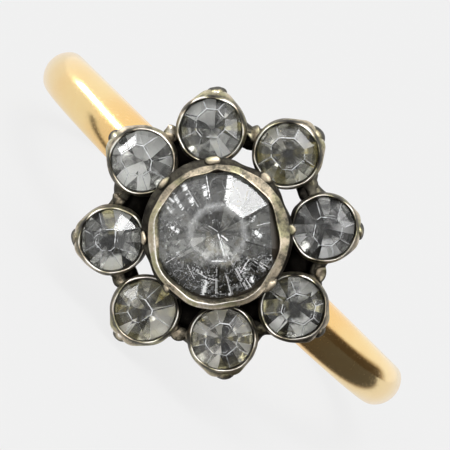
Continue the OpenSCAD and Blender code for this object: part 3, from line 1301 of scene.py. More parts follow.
@dataclass
class Collet:
    """A closed metal cup whose rim is rubbed down over its stone.

    Its section is a strip of folds. `crest_shift`, `open_shift` and `rim_shift` move the crest, the opening
    and the rim's outer edge against the stone. `rub` makes one side of the rim brighter.
    """

    name: str
    stone: CutStone
    top: float
    foot: float
    foot_r: float
    flare_h: float
    wall_r: float
    rim_r: float
    crest_r: float
    open_r: float
    crest_shift: Array = field(default_factory=lambda: np.zeros(2))
    open_shift: Array = field(default_factory=lambda: np.zeros(2))
    rim_shift: Array = field(default_factory=lambda: np.zeros(2))
    lean_h: float = 0.35
    back_t: float = 0.3
    ledge_w: float = 0.12
    gap: float = 0.03
    roughness: float = 0.012
    bump_size: float = 0.9
    crest_w: float = 0.03
    crest_wear: float = 1.12
    side_wear: float = 0.54
    band_wear: float = 0.64
    lip_wear: float = 0.15
    band_drop: float = 0.13
    band_min: float = 0.05
    wander: float = 0.030
    patchy: float = 1.0
    rub: float = 0.0
    rub_at: float = 0.0
    columns: int = 192
    seed: int = 1

    def uneven(self, angles: Array, size: float, step: int) -> Array:
        """Smooth unevenness round the rim, with waves as long as a share of its radius."""
        around = np.stack([np.cos(angles), np.sin(angles), 0 * angles], axis=-1)
        return wobble(around, size, self.seed + step)

    def wall(self, angles: Array) -> Array:
        """Radius of the outside wall."""
        return np.full_like(angles, self.wall_r)

    def crest(self, angles: Array) -> tuple[Array, Array]:
        """Crest of the rim, which wanders a little.

        Args:
            angles: Angles of the columns in radians.

        Returns:
            Its radii and heights.
        """
        radius = self.crest_r + along(angles, self.crest_shift) + self.wander * self.uneven(angles, 1.0, 40)
        return radius, self.top - self.wander * (1 + self.uneven(angles, 0.8, 41))

    def opening(self, angles: Array) -> Array:
        """Radius of the rim's inner edge, where it lies on the stone."""
        return self.open_r + along(angles, self.open_shift)

    def folds(self, angles: Array) -> list[Fold]:
        """Folds of the section from the back round the outside, over the rim and down inside.

        Args:
            angles: Angles of the columns in radians.

        Returns:
            Radius, height, wear and reach of the rounding for each fold.
        """
        stone = self.stone
        crest_r, crest_z = self.crest(angles)
        band_r = np.maximum(self.rim_r + along(angles, self.rim_shift), crest_r + self.band_min)
        worn = 1 + self.patchy * self.uneven(angles, 0.7, 42)
        worn = worn + self.rub * np.cos(angle_off(angles, self.rub_at))
        opening = self.opening(angles)
        edge = lathe(stone.middle, np.stack([opening, 0 * opening], axis=-1), angles)
        lip = stone.height(edge[..., 0], edge[..., 1]) + self.gap
        groove = stone.girdle_r + self.gap
        cup = stone.girdle_r - self.ledge_w
        return [
            (self.foot_r * 0.3, self.foot, 0.3, 0.0),
            (self.foot_r, self.foot, 0.3, 0.08),
            (self.wall_r, self.foot + self.flare_h, 0.04, 0.35),
            (self.wall(angles), self.top - self.lean_h, self.side_wear, 0.10),
            (band_r + 0.02, crest_z - self.band_drop - 0.06, self.side_wear, 0.02),
            (band_r, crest_z - self.band_drop, self.band_wear * 0.8 * worn, 0.02),
            (crest_r + self.crest_w, crest_z - 0.02, self.band_wear * worn, 0.015),
            (crest_r, crest_z, self.crest_wear * worn, 0.02),
            (crest_r - self.crest_w, crest_z - 0.035, self.lip_wear + 0.1, 0.015),
            (np.minimum(opening, crest_r - self.crest_w - 0.01), lip, self.lip_wear, 0.02),
            (groove, stone.girdle + stone.girdle_t + self.gap, 0.0, 0.02),
            (groove, stone.girdle - self.gap, 0.0, 0.02),
            (cup, stone.girdle - 0.1, 0.0, 0.02),
            (self.foot_r - self.back_t, self.foot + self.back_t, 0.0, 0.1),
            (self.foot_r * 0.2, self.foot + self.back_t, 0.0, 0.0),
        ]

    def skin(self) -> Skin:
        """Turns the rounded section round the stone's axis, a little unevenly as a hand made thing is.

        Returns:
            The closed skin.
        """
        angles = ring_angles(self.columns)
        folds = self.folds(angles)
        corners = np.stack(
            [np.stack([np.broadcast_to(v, angles.shape) for v in fold[:3]], axis=-1) for fold in folds]
        )
        rows = rounded_rows(corners, np.array([fold[3] for fold in folds[1:-1]]))
        grid = lathe(self.stone.middle, rows, angles)
        return grid_skin(roughened(grid, self.roughness, self.bump_size, self.seed), rows[..., 2])


@dataclass
class CentreCollet(Collet):
    """The large collet in the middle, with a scalloped rim."""

    waves: int = 8
    wave: float = 0.035
    wave_turn: float = 30.0
    notch_at: float = 134.5
    notch_w: float = 6.0
    crest_notch: float = 0.10
    open_notch: float = 0.14
    lip_at: float = 224.5
    lip_w: float = 22.0
    lip: float = 0.16
    oval: float = 0.07
    oval_at: float = 44.5
    groove: float = 0.012
    dent: float = 0.10
    dent_w: float = 9.0

    def wall(self, angles: Array) -> Array:
        """Wall that gives way a little behind each open gap."""
        dents = sum(hump(angles, STEP * (k + 0.5), self.dent_w) for k in OPEN_GAPS)
        return super().wall(angles) - self.dent * dents

    def scallop(self, angles: Array) -> Array:
        """Even waves between -1 and 1, one over each main facet of the stone."""
        return np.cos(self.waves * (angles - math.radians(self.wave_turn)))

    def crest(self, angles: Array) -> tuple[Array, Array]:
        """Crest that waves in and out over the stone's facets, with a notch at one place.

        Args:
            angles: Angles of the columns in radians.

        Returns:
            Its radii and heights.
        """
        radius, height = super().crest(angles)
        scallop = self.scallop(angles)
        notch = self.crest_notch * hump(angles, self.notch_at, self.notch_w)
        narrow = self.oval * np.cos(2 * (angles - math.radians(self.oval_at)))
        return radius + self.wave * scallop - narrow + notch, height - 0.03 + 0.03 * scallop

    def opening(self, angles: Array) -> Array:
        """Opening that follows the eight sides of the stone, with the notch and a wider lip at one place.

        Args:
            angles: Angles of the columns in radians.

        Returns:
            Its radii.
        """
        edge = super().opening(angles) + self.wave * 0.6 * self.scallop(angles)
        notch = self.open_notch * hump(angles, self.notch_at, self.notch_w)
        return edge + notch - self.lip * hump(angles, self.lip_at, self.lip_w)

    def folds(self, angles: Array) -> list[Fold]:
        """Sinks a shallow groove between the outer edge of the band and its crest.

        Args:
            angles: Angles of the columns in radians.

        Returns:
            The folds, as those of any collet.
        """
        folds = super().folds(angles)
        edge, crest = folds[5], folds[7]
        middle, low = (edge[0] + crest[0]) / 2, crest[1] - self.band_drop / 2 - self.groove
        folds[2] = (self.wall(angles), *folds[2][1:])
        folds[5] = (edge[0], edge[1], edge[2] * 1.2, edge[3])
        folds.insert(6, (middle, low, self.band_wear * 0.88, 0.03))
        return folds


@dataclass
class PetalCollet(Collet):
    """An outer collet, drawn out to a corner that points at its claw."""

    corner_at: float = 0.0
    corner_reach: float = 1.4
    corner_low: float = 11.3
    corner_round: float = 7.0
    shoulder: float = 0.20
    shoulder_wear: float = 0.95

    def wall(self, angles: Array) -> Array:
        """Round wall that becomes two flat sides at right angles near the corner, cut off at the claw.

        The radius is then averaged over a few degrees to each side, which rounds the corners.

        Args:
            angles: Angles of the columns in radians.

        Returns:
            Its radii.
        """
        off = np.abs(angle_off(angles, self.corner_at))
        flat = np.where(off < math.pi / 4, self.wall_r / np.cos(off - math.pi / 4), self.wall_r)
        cut = np.where(off < math.pi / 3, self.corner_reach / np.cos(np.minimum(off, math.pi / 3)), 9.0)
        sharp = np.minimum(flat, cut)
        spread = round(len(angles) * self.corner_round / 360)
        return np.mean([np.roll(sharp, k) for k in range(-spread, spread + 1)], axis=0)

    def folds(self, angles: Array) -> list[Fold]:
        """Draws the wall out to the corner, whose top slopes down from the rim as a shoulder.

        Args:
            angles: Angles of the columns in radians.

        Returns:
            The folds, as those of any collet.
        """
        folds = super().folds(angles)
        near = np.abs(np.cos(angle_off(angles, self.corner_at) / 2)) ** 12
        low = self.wall_r + (self.wall(angles) - self.wall_r) * 0.9
        wear = self.side_wear + (self.shoulder_wear - self.side_wear) * near
        folds[3] = (self.wall(angles), self.top - self.lean_h - self.shoulder * near, wear, 0.12)
        folds.insert(3, (low, self.corner_low + 0.15 - 0.3 * near, 0.15, 0.15))
        return folds


@dataclass
class Claw:
    """A flattened claw with a rounded top at the point of a petal."""

    at: Array
    angle: float
    foot: float
    height: float
    width: float
    thickness: float
    wear: float
    low_wear: float = 0.15
    shaft: float = 0.4
    uneven: float = 0.02
    columns: int = 32
    seed: int = 1

    def skin(self) -> Skin:
        """Oval post whose size falls off as a quarter of an ellipse above its shaft.

        Returns:
            The closed skin.
        """
        angles = ring_angles(self.columns)
        crown = 1 - self.shaft
        rows = 1 - crown * (1 - np.linspace(0.05, 0.99, 14)) ** 1.6
        up = np.concatenate([[0.0], np.linspace(0.02, self.shaft, 8), rows])
        size = np.sqrt(np.clip(1 - (np.clip(up - self.shaft, 0, 1) / crown) ** 2, 0.02, 1))
        size = size * np.where(up < 0.01, 0.9, 1.0)
        oval = np.stack([np.cos(angles) * self.thickness / 2, np.sin(angles) * self.width / 2], axis=-1)
        out = turned(self.angle)
        sides = oval[:, :1] * out + oval[:, 1:] * np.array([-out[1], out[0]])
        flat = size[:, None, None] * sides + self.at
        height = np.broadcast_to((self.foot + up * self.height)[:, None, None], (*flat.shape[:2], 1))
        grid = np.concatenate([flat, height], axis=-1)
        wear = self.low_wear + (self.wear - self.low_wear) * up**4
        wear = np.broadcast_to(wear[:, None], flat.shape[:2])
        return grid_skin(roughened(grid, self.uneven, 0.5, self.seed), wear)


@dataclass
class Grain:
    """A blob of metal: an egg with given half sizes along the radius, round the flower and up."""

    at: Array
    angle: float
    half: tuple[float, float, float]
    wear: float
    uneven: float = 0.03
    seed: int = 1

    def skin(self) -> Skin:
        """Sphere of points, scaled along the three axes and made uneven.

        Returns:
            The closed skin.
        """
        rows = np.linspace(0.04, math.pi - 0.04, 16)[:, None]
        sphere = lathe(np.zeros(2), np.stack([np.sin(rows), np.cos(rows)], axis=-1), ring_angles(28))
        out = turned(self.angle)
        axes = np.array([[*out, 0.0], [-out[1], out[0], 0.0], [0.0, 0.0, 1.0]])
        grid = self.at + (sphere * np.array(self.half)) @ axes
        wear = self.wear * (0.35 + 0.65 * sphere[..., 2].clip(0, 1))
        return grid_skin(roughened(grid, self.uneven, 0.45, self.seed), wear)


@dataclass
class Neck:
    """Solder that joins two neighbouring walls: a bar that swells towards both of its ends."""

    at: Array
    angle: float
    reach: float
    half_r: float = 0.24
    half_h: float = 0.34
    swell: float = 0.22
    wear: float = 0.50
    uneven: float = 0.04
    seed: int = 1

    def skin(self) -> Skin:
        """Oval rings along the bar, whose half sizes grow with the square of the way from its middle.

        Returns:
            The closed skin.
        """
        u = np.linspace(-1, 1, 17)[:, None]
        angles = ring_angles(28)
        out = turned(self.angle)
        radial = np.cos(angles) * (self.half_r + self.swell * u**2)
        up = np.sin(angles) * (self.half_h + self.swell * 0.1 * u**2)
        beside = u * self.reach + 0 * angles
        x = self.at[0] + radial * out[0] - beside * out[1]
        y = self.at[1] + radial * out[1] + beside * out[0]
        grid = np.stack([x, y, self.at[2] + up], axis=-1)
        wear = self.wear * (0.3 + 0.7 * np.sin(angles).clip(0, 1)) + 0 * u
        return grid_skin(roughened(grid, self.uneven, 0.5, self.seed), wear)


@dataclass(frozen=True)
class ClawLook:
    """Size of one claw and how bright it is rubbed."""

    width: float
    thickness: float
    height: float
    wear: float


@dataclass(frozen=True)
class PetalLook:
    """What one petal shows: the table of its stone, its rim, its claw, its paste and its foil.

    The table's shift and radius are in pixels of the photograph, and the rim's shift is in millimetres.
    """

    table_shift: tuple[float, float]
    table_r: float
    crest_shift: tuple[float, float]
    claw: ClawLook
    grain: tuple[float, float, float] | None
    haze: float
    tint: Colour
    dark_share: float
    # Painted light of the foil: the range of painted facet shades, the shares of facets painted with a yellow
    # reflection and painted white, and the radius and strength of the painted dark star.
    tones: tuple[float, float]
    flash_share: float
    spark_share: float
    star_r: float
    star: float
    speckle: float
    speckle_at: float
    seed: int


GREY: Colour = (0.98, 0.985, 0.97)
SMOKE: Colour = (0.95, 0.95, 0.96)
OLIVE: Colour = (0.98, 0.965, 0.88)
TAN: Colour = (0.99, 0.965, 0.90)

# The petals, from the one at the lower right of the photograph against the clock.
PETALS = [
    PetalLook((4.8, -1.6), 16.5, (0.02, 0.0), ClawLook(0.55, 0.36, 0.98, 0.45), (0.17, 0.36, 0.16), 0.12,
              GREY, 0.45, (0.10, 1.0), 0.20, 0.20, 0.66, 1.0, 1.0, -50.0, 21),
    PetalLook((4.3, -2.4), 15.5, (0.0, 0.0), ClawLook(0.68, 0.36, 1.04, 0.75), (0.15, 0.22, 0.16), 0.12,
              SMOKE, 0.45, (0.10, 0.9), 0.05, 0.18, 0.58, 0.95, 1.0, -20.0, 22),
    PetalLook((0.6, 1.8), 17.5, (0.0, -0.02), ClawLook(0.86, 0.58, 1.06, 0.75), (0.20, 0.26, 0.17), 0.14,
              OLIVE, 0.30, (0.40, 1.0), 0.30, 0.18, 0.50, 1.0, 0.9, -25.0, 23),
    PetalLook((-1.0, 6.0), 15.7, (0.0, -0.03), ClawLook(0.78, 0.50, 1.06, 0.90), (0.17, 0.34, 0.19), 0.12,
              GREY, 0.25, (0.42, 1.0), 0.10, 0.36, 0.32, 0.7, 0.3, 120.0, 24),
    PetalLook((-4.6, 0.6), 15.5, (0.01, 0.0), ClawLook(0.60, 0.50, 1.06, 0.95), (0.14, 0.30, 0.15), 0.06,
              GREY, 0.05, (0.50, 1.0), 0.05, 0.55, 0.18, 0.4, 0.5, -70.0, 25),
    PetalLook((-4.2, 0.4), 11.5, (0.02, 0.0), ClawLook(0.68, 0.40, 1.03, 0.55), (0.11, 0.26, 0.15), 0.10,
              GREY, 0.40, (0.10, 1.0), 0.10, 0.18, 0.66, 1.0, 1.0, 180.0, 26),
    PetalLook((-5.6, 0.0), 13.0, (0.0, 0.02), ClawLook(0.62, 0.44, 1.05, 0.90), (0.14, 0.20, 0.13), 0.12,
              TAN, 0.25, (0.32, 1.0), 0.30, 0.38, 0.30, 0.7, 0.8, -90.0, 27),
    PetalLook((-0.8, -0.8), 17.0, (0.0, 0.02), ClawLook(0.72, 0.44, 1.03, 0.60), None, 0.12,
              TAN, 0.25, (0.26, 1.0), 0.25, 0.36, 0.34, 0.75, 0.8, -110.0, 28),
]

# Degrees from one petal to the next. Gap k lies between petal k and the next.
STEP = 45
FILLED_GAPS = (0, 3, 4, 6, 7)
OPEN_GAPS = (1, 2, 5)

# Degrees from each petal's axis to its claw, and turn of its stone's facets.
CLAW_DRIFTS = (0.5, 0.5, -0.4, -0.2, 1.0, 1.3, 0.8, 2.3)
FACET_TURNS = (10, 12, 19, 17, 9, 21, 8, 12)

# Nodules of solder: pixels to the right of the flower's middle and above it, half sizes outwards, round the
# flower and up, and wear.
NODULES = (
    (37.7, 99.3, 0.30, 0.25, 0.22, 0.62),
    (95.0, 43.7, 0.25, 0.32, 0.20, 0.28),
    (90.0, 38.0, 0.26, 0.24, 0.15, 0.20),
    (103.0, -41.3, 0.24, 0.27, 0.20, 0.55),
    (99.0, -35.0, 0.22, 0.20, 0.18, 0.40),
    (44.0, -96.3, 0.24, 0.27, 0.19, 0.55),
    (38.0, -93.0, 0.20, 0.20, 0.20, 0.35),
    (-40.0, -99.3, 0.24, 0.27, 0.18, 0.50),
    (-46.0, -93.0, 0.22, 0.18, 0.18, 0.62),
    (-99.0, -45.3, 0.24, 0.29, 0.18, 0.45),
    (-98.0, 35.7, 0.24, 0.27, 0.20, 0.45),
    (-92.0, 41.0, 0.22, 0.22, 0.15, 0.30),
    (-46.0, 100.7, 0.27, 0.22, 0.22, 0.80),
    (-51.0, 95.0, 0.22, 0.24, 0.15, 0.55),
)

# Bruises in the face of the large stone, and painted glints among them.
CENTRE_STROKES = (
    Stroke((1.2, 1.6), (7.9, -22.9), 1.2, 0.8),
    Stroke((4.0, -0.6), (12.3, -7.3), 1.4, 0.9),
    Stroke((-15.6, -64.2), (-8.9, -44.1), 4.5, 1.0, True),
    Stroke((-14.5, -62.0), (-9.5, -46.0), 1.8, 1.0),
    Stroke((-9.0, -44.0), (-20.0, -38.0), 1.2, 0.8),
    Stroke((-9.0, -44.0), (2.0, -47.0), 1.0, 0.8),
    Stroke((20.0, -44.0), (33.0, -24.0), 0.8, 0.7),
    Stroke((23.0, -48.0), (30.0, -34.0), 2.6, 0.8, True),
    Stroke((-30.0, -30.0), (-22.0, -46.0), 0.8, 0.6),
    Stroke((-24.0, -34.0), (-13.0, -40.0), 3.4, 0.9, True),
    Stroke((-40.0, -22.0), (-52.0, -30.0), 0.8, 0.5),
    Stroke((-10.0, -41.3), (-1.1, -41.3), 1.6, 0.8, True),
    Stroke((9.0, -39.7), (14.6, -62.0), 1.0, 0.8),
    Stroke((10.7, -59.7), (15.1, -62.0), 2.4, 1.0),
    Stroke((34.1, -41.9), (36.3, -49.7), 2.6, 1.0),
    Stroke((29.6, -27.4), (26.8, -37.4), 2.0, 0.9, True),
    Stroke((-46.8, 7.4), (-41.5, 5.0), 3.0, 1.0),
    Stroke((-41.5, 4.0), (-37.0, 0.6), 3.6, 1.0),
    Stroke((-53.5, 10.6), (-48.0, 8.3), 3.0, 0.8, True),
    Stroke((36.9, 3.9), (45.8, -3.9), 3.6, 0.9, True),
    Stroke((34.6, 11.7), (39.1, 19.5), 2.4, 0.7, True),
    Stroke((39.0, 8.3), (60.3, 12.8), 0.6, 0.5),
    Stroke((-6.6, -26.8), (11.2, -26.8), 1.1, 0.8),
    Stroke((-39.0, -15.0), (-38.0, -24.0), 3.0, 0.7, True),
    Stroke((-34.5, 53.0), (-17.8, 26.2), 0.7, 0.6),
    Stroke((-34.0, 50.0), (-22.5, 27.7), 4.6, 1.0, True),
    Stroke((-11.1, 60.8), (-6.6, 35.1), 0.8, 0.7),
    Stroke((-13.5, 51.0), (-9.8, 34.0), 4.6, 0.8, True),
    Stroke((13.4, 59.7), (9.2, 30.7), 4.2, 1.0, True),
    Stroke((12.3, 30.7), (26.8, 17.8), 3.2, 0.9, True),
    Stroke((-51.3, 38.5), (-41.2, 30.7), 2.4, 0.8, True),
    Stroke((-46.0, 44.0), (-33.0, 23.0), 3.4, 0.7, True),
    Stroke((-52.0, 30.0), (-44.0, 20.0), 3.0, 0.6, True),
    Stroke((4.0, -3.0), (13.0, -26.0), 0.8, 0.6),
    Stroke((2.0, 2.0), (-9.0, 9.0), 0.8, 0.5),
    Stroke((-2.0, -3.0), (-8.0, -12.0), 1.0, 0.5, True),
    Spot((-43.0, 7.0), 9.0, 1.0),
    Spot((-48.0, -4.0), 7.0, 0.7),
    Spot((41.0, 0.0), 9.0, 0.7),
    Spot((36.0, 14.0), 7.0, 0.6),
    Spot((-37.0, -21.0), 7.0, 0.6),
    Spot((-11.0, -48.0), 10.0, 1.0),
    Spot((33.0, -44.0), 8.0, 0.9),
    Spot((25.0, -36.0), 8.0, 0.8),
    Spot((12.0, 43.0), 8.0, 0.5),
    Spot((-48.0, 30.0), 9.0, 0.5),
    Spot((46.0, -24.0), 9.0, 0.6),
    Spot((20.0, -30.0), 8.0, 0.5),
    Spot((-30.0, -38.0), 8.0, 0.5),
)


@dataclass
class Photo:
    """How the photograph shows the head: its scale, its turn and where the flower's middle is."""

    side: float = 450.0
    scale: float = PHOTO_SCALE
    turn: float = 44.5
    middle: tuple[float, float] = (217.0, 233.7)

    def offset(self, right: float, up: float) -> Array:
        """Millimetres in the head frame of an offset in pixels to the right and up."""
        c, s = turned(self.turn)
        return np.array([right * c - up * s, right * s + up * c]) / self.scale


@dataclass
class Flower:
    """The silver flower: nine collets with their stones, eight claws, grains, ribs and solder."""

    head: HeadFrame
    nodes: dict[str, bpy.types.Object]
    photo: Photo
    seat: float = 9.2
    centre_top: float = 13.2
    outer_top: float = 12.65
    outer_foot: float = 10.15
    petal_wall: float = 1.35
    petal_rim: float = 1.27
    claw_reach: float = 5.40
    claw_foot: float = 11.25
    claw_top: float = 0.15
    claw_gain: float = 1.12
    rim_grain_r: float = 2.74
    rim_grain_h: float = 12.96
    neck_out: float = 0.32
    neck_h: float = 11.70
    neck_sink: float = 0.33
    nodule_h: float = 11.98
    nodule_gains: tuple[float, float, float, float] = (1.1, 1.35, 0.65, 1.25)
    pool_r: float = 3.27
    outer_pool_r: float = 3.78
    pool_h: float = 11.45
    rib_r: float = 3.1
    rib_h: float = 10.82

    def __post_init__(self) -> None:
        """Works out the stones from where the CAD stones are."""
        self.centre = self._centre_stone()
        self.outer = [self._outer_stone(k) for k in range(len(PETALS))]

    def _measured(self, node: str) -> tuple[Array, Array, Array]:
        """Lowest corner, highest corner and middle of a CAD stone in the head frame.

        Args:
            node: The stone's node.

        Returns:
            The two corners and the middle.
        """
        points = self.head.read(self.nodes[node])
        low, high = points.min(axis=0), points.max(axis=0)
        return low, high, (low + high) / 2

    def _centre_stone(self) -> CutStone:
        """Makes the large stone.

        Returns:
            The stone.
        """
        low, high, middle = self._measured("centre_stone")
        return CutStone(
            "centre_gem", "centre_stone", middle[:2], girdle=self.centre_top - 0.45, girdle_r=2.55,
            table_top=high[2], culet=low[2], table_r=1.10, table_shift=self.photo.offset(1.4, 0.2), turn=30.0,
            tones=(0.26, 0.64), seed=5,
        )

    def _outer_stone(self, k: int) -> CutStone:
        """Makes one of the small stones.

        Args:
            k: Number of its petal.

        Returns:
            The stone.
        """
        look = PETALS[k]
        node = f"outer_stone_{k + 1}"
        low, high, middle = self._measured(node)
        return CutStone(
            f"outer_gem_{k + 1}", node, middle[:2], girdle=self.outer_top - 0.4, girdle_r=1.24,
            table_top=high[2], culet=low[2] + 0.02, table_r=look.table_r / self.photo.scale,
            table_shift=self.photo.offset(*look.table_shift), turn=FACET_TURNS[k], angle_jitter=2.5,
            line_jitter=0.035, tones=look.tones, seed=look.seed,
        )

    def stone_angle(self, k: int) -> float:
        """Angle in degrees of a small stone round the flower."""
        return bearing(self.outer[k].middle)

    def build_stones(self, bench: Bench) -> None:
        """Adds the stones, each with its paste in front and its foil behind.

        Args:
            bench: Bench to build on.
        """
        paste = Paste(
            "paste_centre", open_r=2.42, tint=GREY, haze=0.12, line=0.010, line_strength=0.2, ring=0.24,
            ring_w=0.24, speckle=0.3, speckle_at=-75.0, strokes=CENTRE_STROKES, crack_at=-84.0,
            crack_reach=0.9, dark_star_r=0.60, dark_cloud=0.85, dust=0.70, groove=0.0, frost=(0.84, 0.85, 0.85),
            stains=((-41.0, -38.0, 17.0), (-10.0, -58.0, 15.0), (46.0, -30.0, 14.0), (16.0, -46.0, 12.0)),
            dark_lumps=((4.0, 2.02, 1.18), (90.5, 2.30, 0.26)),
        )
        foil = OldFoil(
            "foil_centre", dark_share=0.45, star_r=0.40, dark_side_at=-88.0, dark_side_reach=0.75, sheen=0.30,
            metal=0.80, flash_share=0.0, spark_share=0.0, patch=0.3, run=0.35, run_r=1.4,
        )
        looks = [(self.centre, paste, foil)]
        for k, (stone, look) in enumerate(zip(self.outer, PETALS), 1):
            paste = Paste(
                f"paste_{k}", open_r=1.18, tint=look.tint, haze=look.haze, speckle=look.speckle,
                speckle_at=look.speckle_at,
            )
            foil = OldFoil(
                f"foil_{k}", dark_share=look.dark_share, star_r=look.star_r, star=look.star,
                flash_share=look.flash_share, spark_share=look.spark_share,
            )
            looks.append((stone, paste, foil))
        for stone, paste, foil in looks:
            skin, marks = stone.build(self.photo.turn)
            bench.add(stone.name, skin, [paste.material(), foil.material()], Slot.STONE, stone.node, marks)

    def collets(self) -> list[Collet]:
        """Makes the nine collets.

        Returns:
            The collets, the large one first.
        """
        made: list[Collet] = [
            CentreCollet(
                "centre_collet", self.centre, top=self.centre_top, foot=self.seat, foot_r=2.3, flare_h=2.35,
                wall_r=2.87, rim_r=2.665, crest_r=2.435, open_r=2.38,
                crest_shift=self.photo.offset(0.0, -4.0), open_shift=self.photo.offset(1.0, -2.0),
                rim_shift=self.photo.offset(2.0, -2.0), columns=360, roughness=0.016, seed=11,
                band_wear=0.78, lip_wear=0.50, side_wear=0.22, crest_wear=1.05, band_drop=0.07,
                band_min=0.19, wander=0.014, patchy=0.25, rub=0.20, rub_at=285.0,
            )
        ]
        for k, stone in enumerate(self.outer):
            to_claw = turned(STEP * k + CLAW_DRIFTS[k], self.claw_reach) - stone.middle
            made.append(
                PetalCollet(
                    f"petal_collet_{k + 1}", stone, top=self.outer_top, foot=self.outer_foot, foot_r=0.85,
                    flare_h=1.2, wall_r=self.petal_wall, rim_r=self.petal_rim, crest_r=1.22, open_r=1.165,
                    crest_shift=np.array(PETALS[k].crest_shift), seed=30 + 3 * k, roughness=0.020,
                    corner_at=bearing(to_claw), corner_reach=float(np.linalg.norm(to_claw)),
                )
            )
        return made

    def claws(self) -> list[Claw]:
        """Makes one claw for each petal.

        Returns:
            The claws.
        """
        made = []
        for k, (petal, drift) in enumerate(zip(PETALS, CLAW_DRIFTS)):
            look, angle = petal.claw, STEP * k + drift
            at = turned(angle, self.claw_reach + self.claw_top - look.thickness / 2)
            made.append(
                Claw(
                    at, angle, foot=self.claw_foot, height=look.height, width=look.width,
                    thickness=look.thickness, wear=look.wear * self.claw_gain, seed=60 + k,
                )
            )
        return made

    def rim_grains(self) -> list[Grain]:
        """Makes the gilded grains where the small collets meet the large rim.

        Returns:
            The grains.
        """
        made = []
        for k, stone in enumerate(self.outer):
            half = PETALS[k].grain
            if half is None:
                continue
            angle = self.stone_angle(k)
            radius = (self.rim_grain_r + float(np.linalg.norm(stone.middle)) - self.petal_rim) / 2 + 0.05
            at = raised(angle, radius, self.rim_grain_h)
            made.append(Grain(at, angle, (*half[:2], half[2] * 0.8), wear=0.85, uneven=0.04, seed=80 + k))
        return made

    def _between(self, k: int) -> tuple[Array, float, float]:
        """Measures the place between two neighbouring stones and half the gap between their walls.

        Args:
            k: Number of the first stone.

        Returns:
            The middle, its angle in degrees and half the gap.
        """
        one, other = self.outer[k].middle, self.outer[(k + 1) % len(self.outer)].middle
        middle = (one + other) / 2
        return middle, bearing(middle), float(np.linalg.norm(other - one)) / 2 - self.petal_wall

    def necks(self) -> list[Neck]:
        """Makes the bars of solder between neighbouring small collets.

        Returns:
            The bars.
        """
        made = []
        for k in range(len(self.outer)):
            middle, angle, gap = self._between(k)
            at = np.array([*(middle + turned(angle, self.neck_out)), self.neck_h])
            made.append(Neck(at, angle, gap + self.neck_sink, seed=140 + 3 * k))
        return made

    def side_grains(self) -> list[Grain]:
        """Makes the nodules of solder between neighbouring petals.

        Returns:
            The nodules.
        """
        made = []
        for k, (x, y, *measures) in enumerate(NODULES):
            at = self.photo.offset(x, y)
            *half, wear = (measure * gain for measure, gain in zip(measures, self.nodule_gains))
            place = np.array([*at, self.nodule_h])
            made.append(Grain(place, bearing(at), tuple(half), wear, uneven=0.08, seed=100 + 3 * k))
        return made

    def pools(self) -> list[Grain]:
        """Makes the black solder that fills some gaps, and that closes the others at their outer ends.

        Their black is partly painted shade: it stands for the shade deep down in the gaps.

        Returns:
            The pools.
        """
        # Unrubbed, so black: partly painted shade for the deep gaps.
        kinds = (
            (FILLED_GAPS, self.pool_r, (0.66, 0.92, 0.34), 0.0),
            (OPEN_GAPS, self.outer_pool_r, (0.42, 0.70, 0.34), 0.1),
        )
        made = []
        for gaps, radius, half, wear in kinds:
            for k in gaps:
                _, angle, _ = self._between(k)
                made.append(Grain(raised(angle, radius, self.pool_h), angle, half, wear, 0.04, seed=160 + k))
        return made

    def ribs(self) -> list[Grain]:
        """Makes the hidden ribs between the large collet and the small ones.

        Returns:
            The ribs.
        """
        made = []
        for k in range(len(self.outer)):
            angle = self.stone_angle(k)
            at = raised(angle, self.rib_r, self.rib_h)
            made.append(Grain(at, angle, (0.75, 0.42, 0.55), wear=0.1, uneven=0.02, seed=120 + k))
        return made

    def build_metal(self, bench: Bench) -> None:
        """Adds the silver pieces.

        Args:
            bench: Bench to build on.
        """
        silver = [OldSilver().material()]
        for collet in self.collets():
            bench.add(collet.name, collet.skin(), silver, Slot.SILVER, "setting")
        groups = {
            "claw": self.claws(), "rim_grain": self.rim_grains(), "side_grain": self.side_grains(),
            "neck": self.necks(), "solder": self.pools(), "rib": self.ribs(),
        }
        for name, parts in groups.items():
            for k, part in enumerate(parts):
                bench.add(f"{name}_{k + 1}", part.skin(), silver, Slot.SILVER, "setting")


@dataclass(frozen=True)
class SoftPanel:
    """A far-off soft light as the ring sees it, in degrees. Azimuth 0 is the camera's side and 90 is +X.

    It is a rectangle on a plane before the ring, with soft sides.
    """

    azimuth: float
    elevation: float
    half_width: float
    half_height: float
    strength: float
    edge: float = 4.0
    roll: float = 0.0

    def glow(self, paint: Paint, direction: Value) -> Value:
        """Brightness of the panel along a direction.

        Args:
            paint: Tree to add to.
            direction: The direction that is looked in.

        Returns:
            A value from 0 to the panel's strength.
        """
        a, e = math.radians(self.azimuth), math.radians(self.elevation)
        ahead = np.array([math.sin(a) * math.cos(e), -math.cos(a) * math.cos(e), math.sin(e)])
        level = np.array([math.cos(a), math.sin(a), 0.0])
        c, s = turned(self.roll)
        right = level * c + np.cross(ahead, level) * s
        depth = paint.dot(direction, tuple(ahead))
        sides, edge = [], math.tan(math.radians(self.edge))
        for axis, half in ((right, self.half_width), (np.cross(ahead, right), self.half_height)):
            reach = math.tan(math.radians(half))
            across = abs(paint.dot(direction, tuple(axis)) / depth.over(0.001))
            sides.append(across.fade(reach + edge, reach))
        return sides[0] * sides[1] * depth.fade(0.0, 0.05) * self.strength


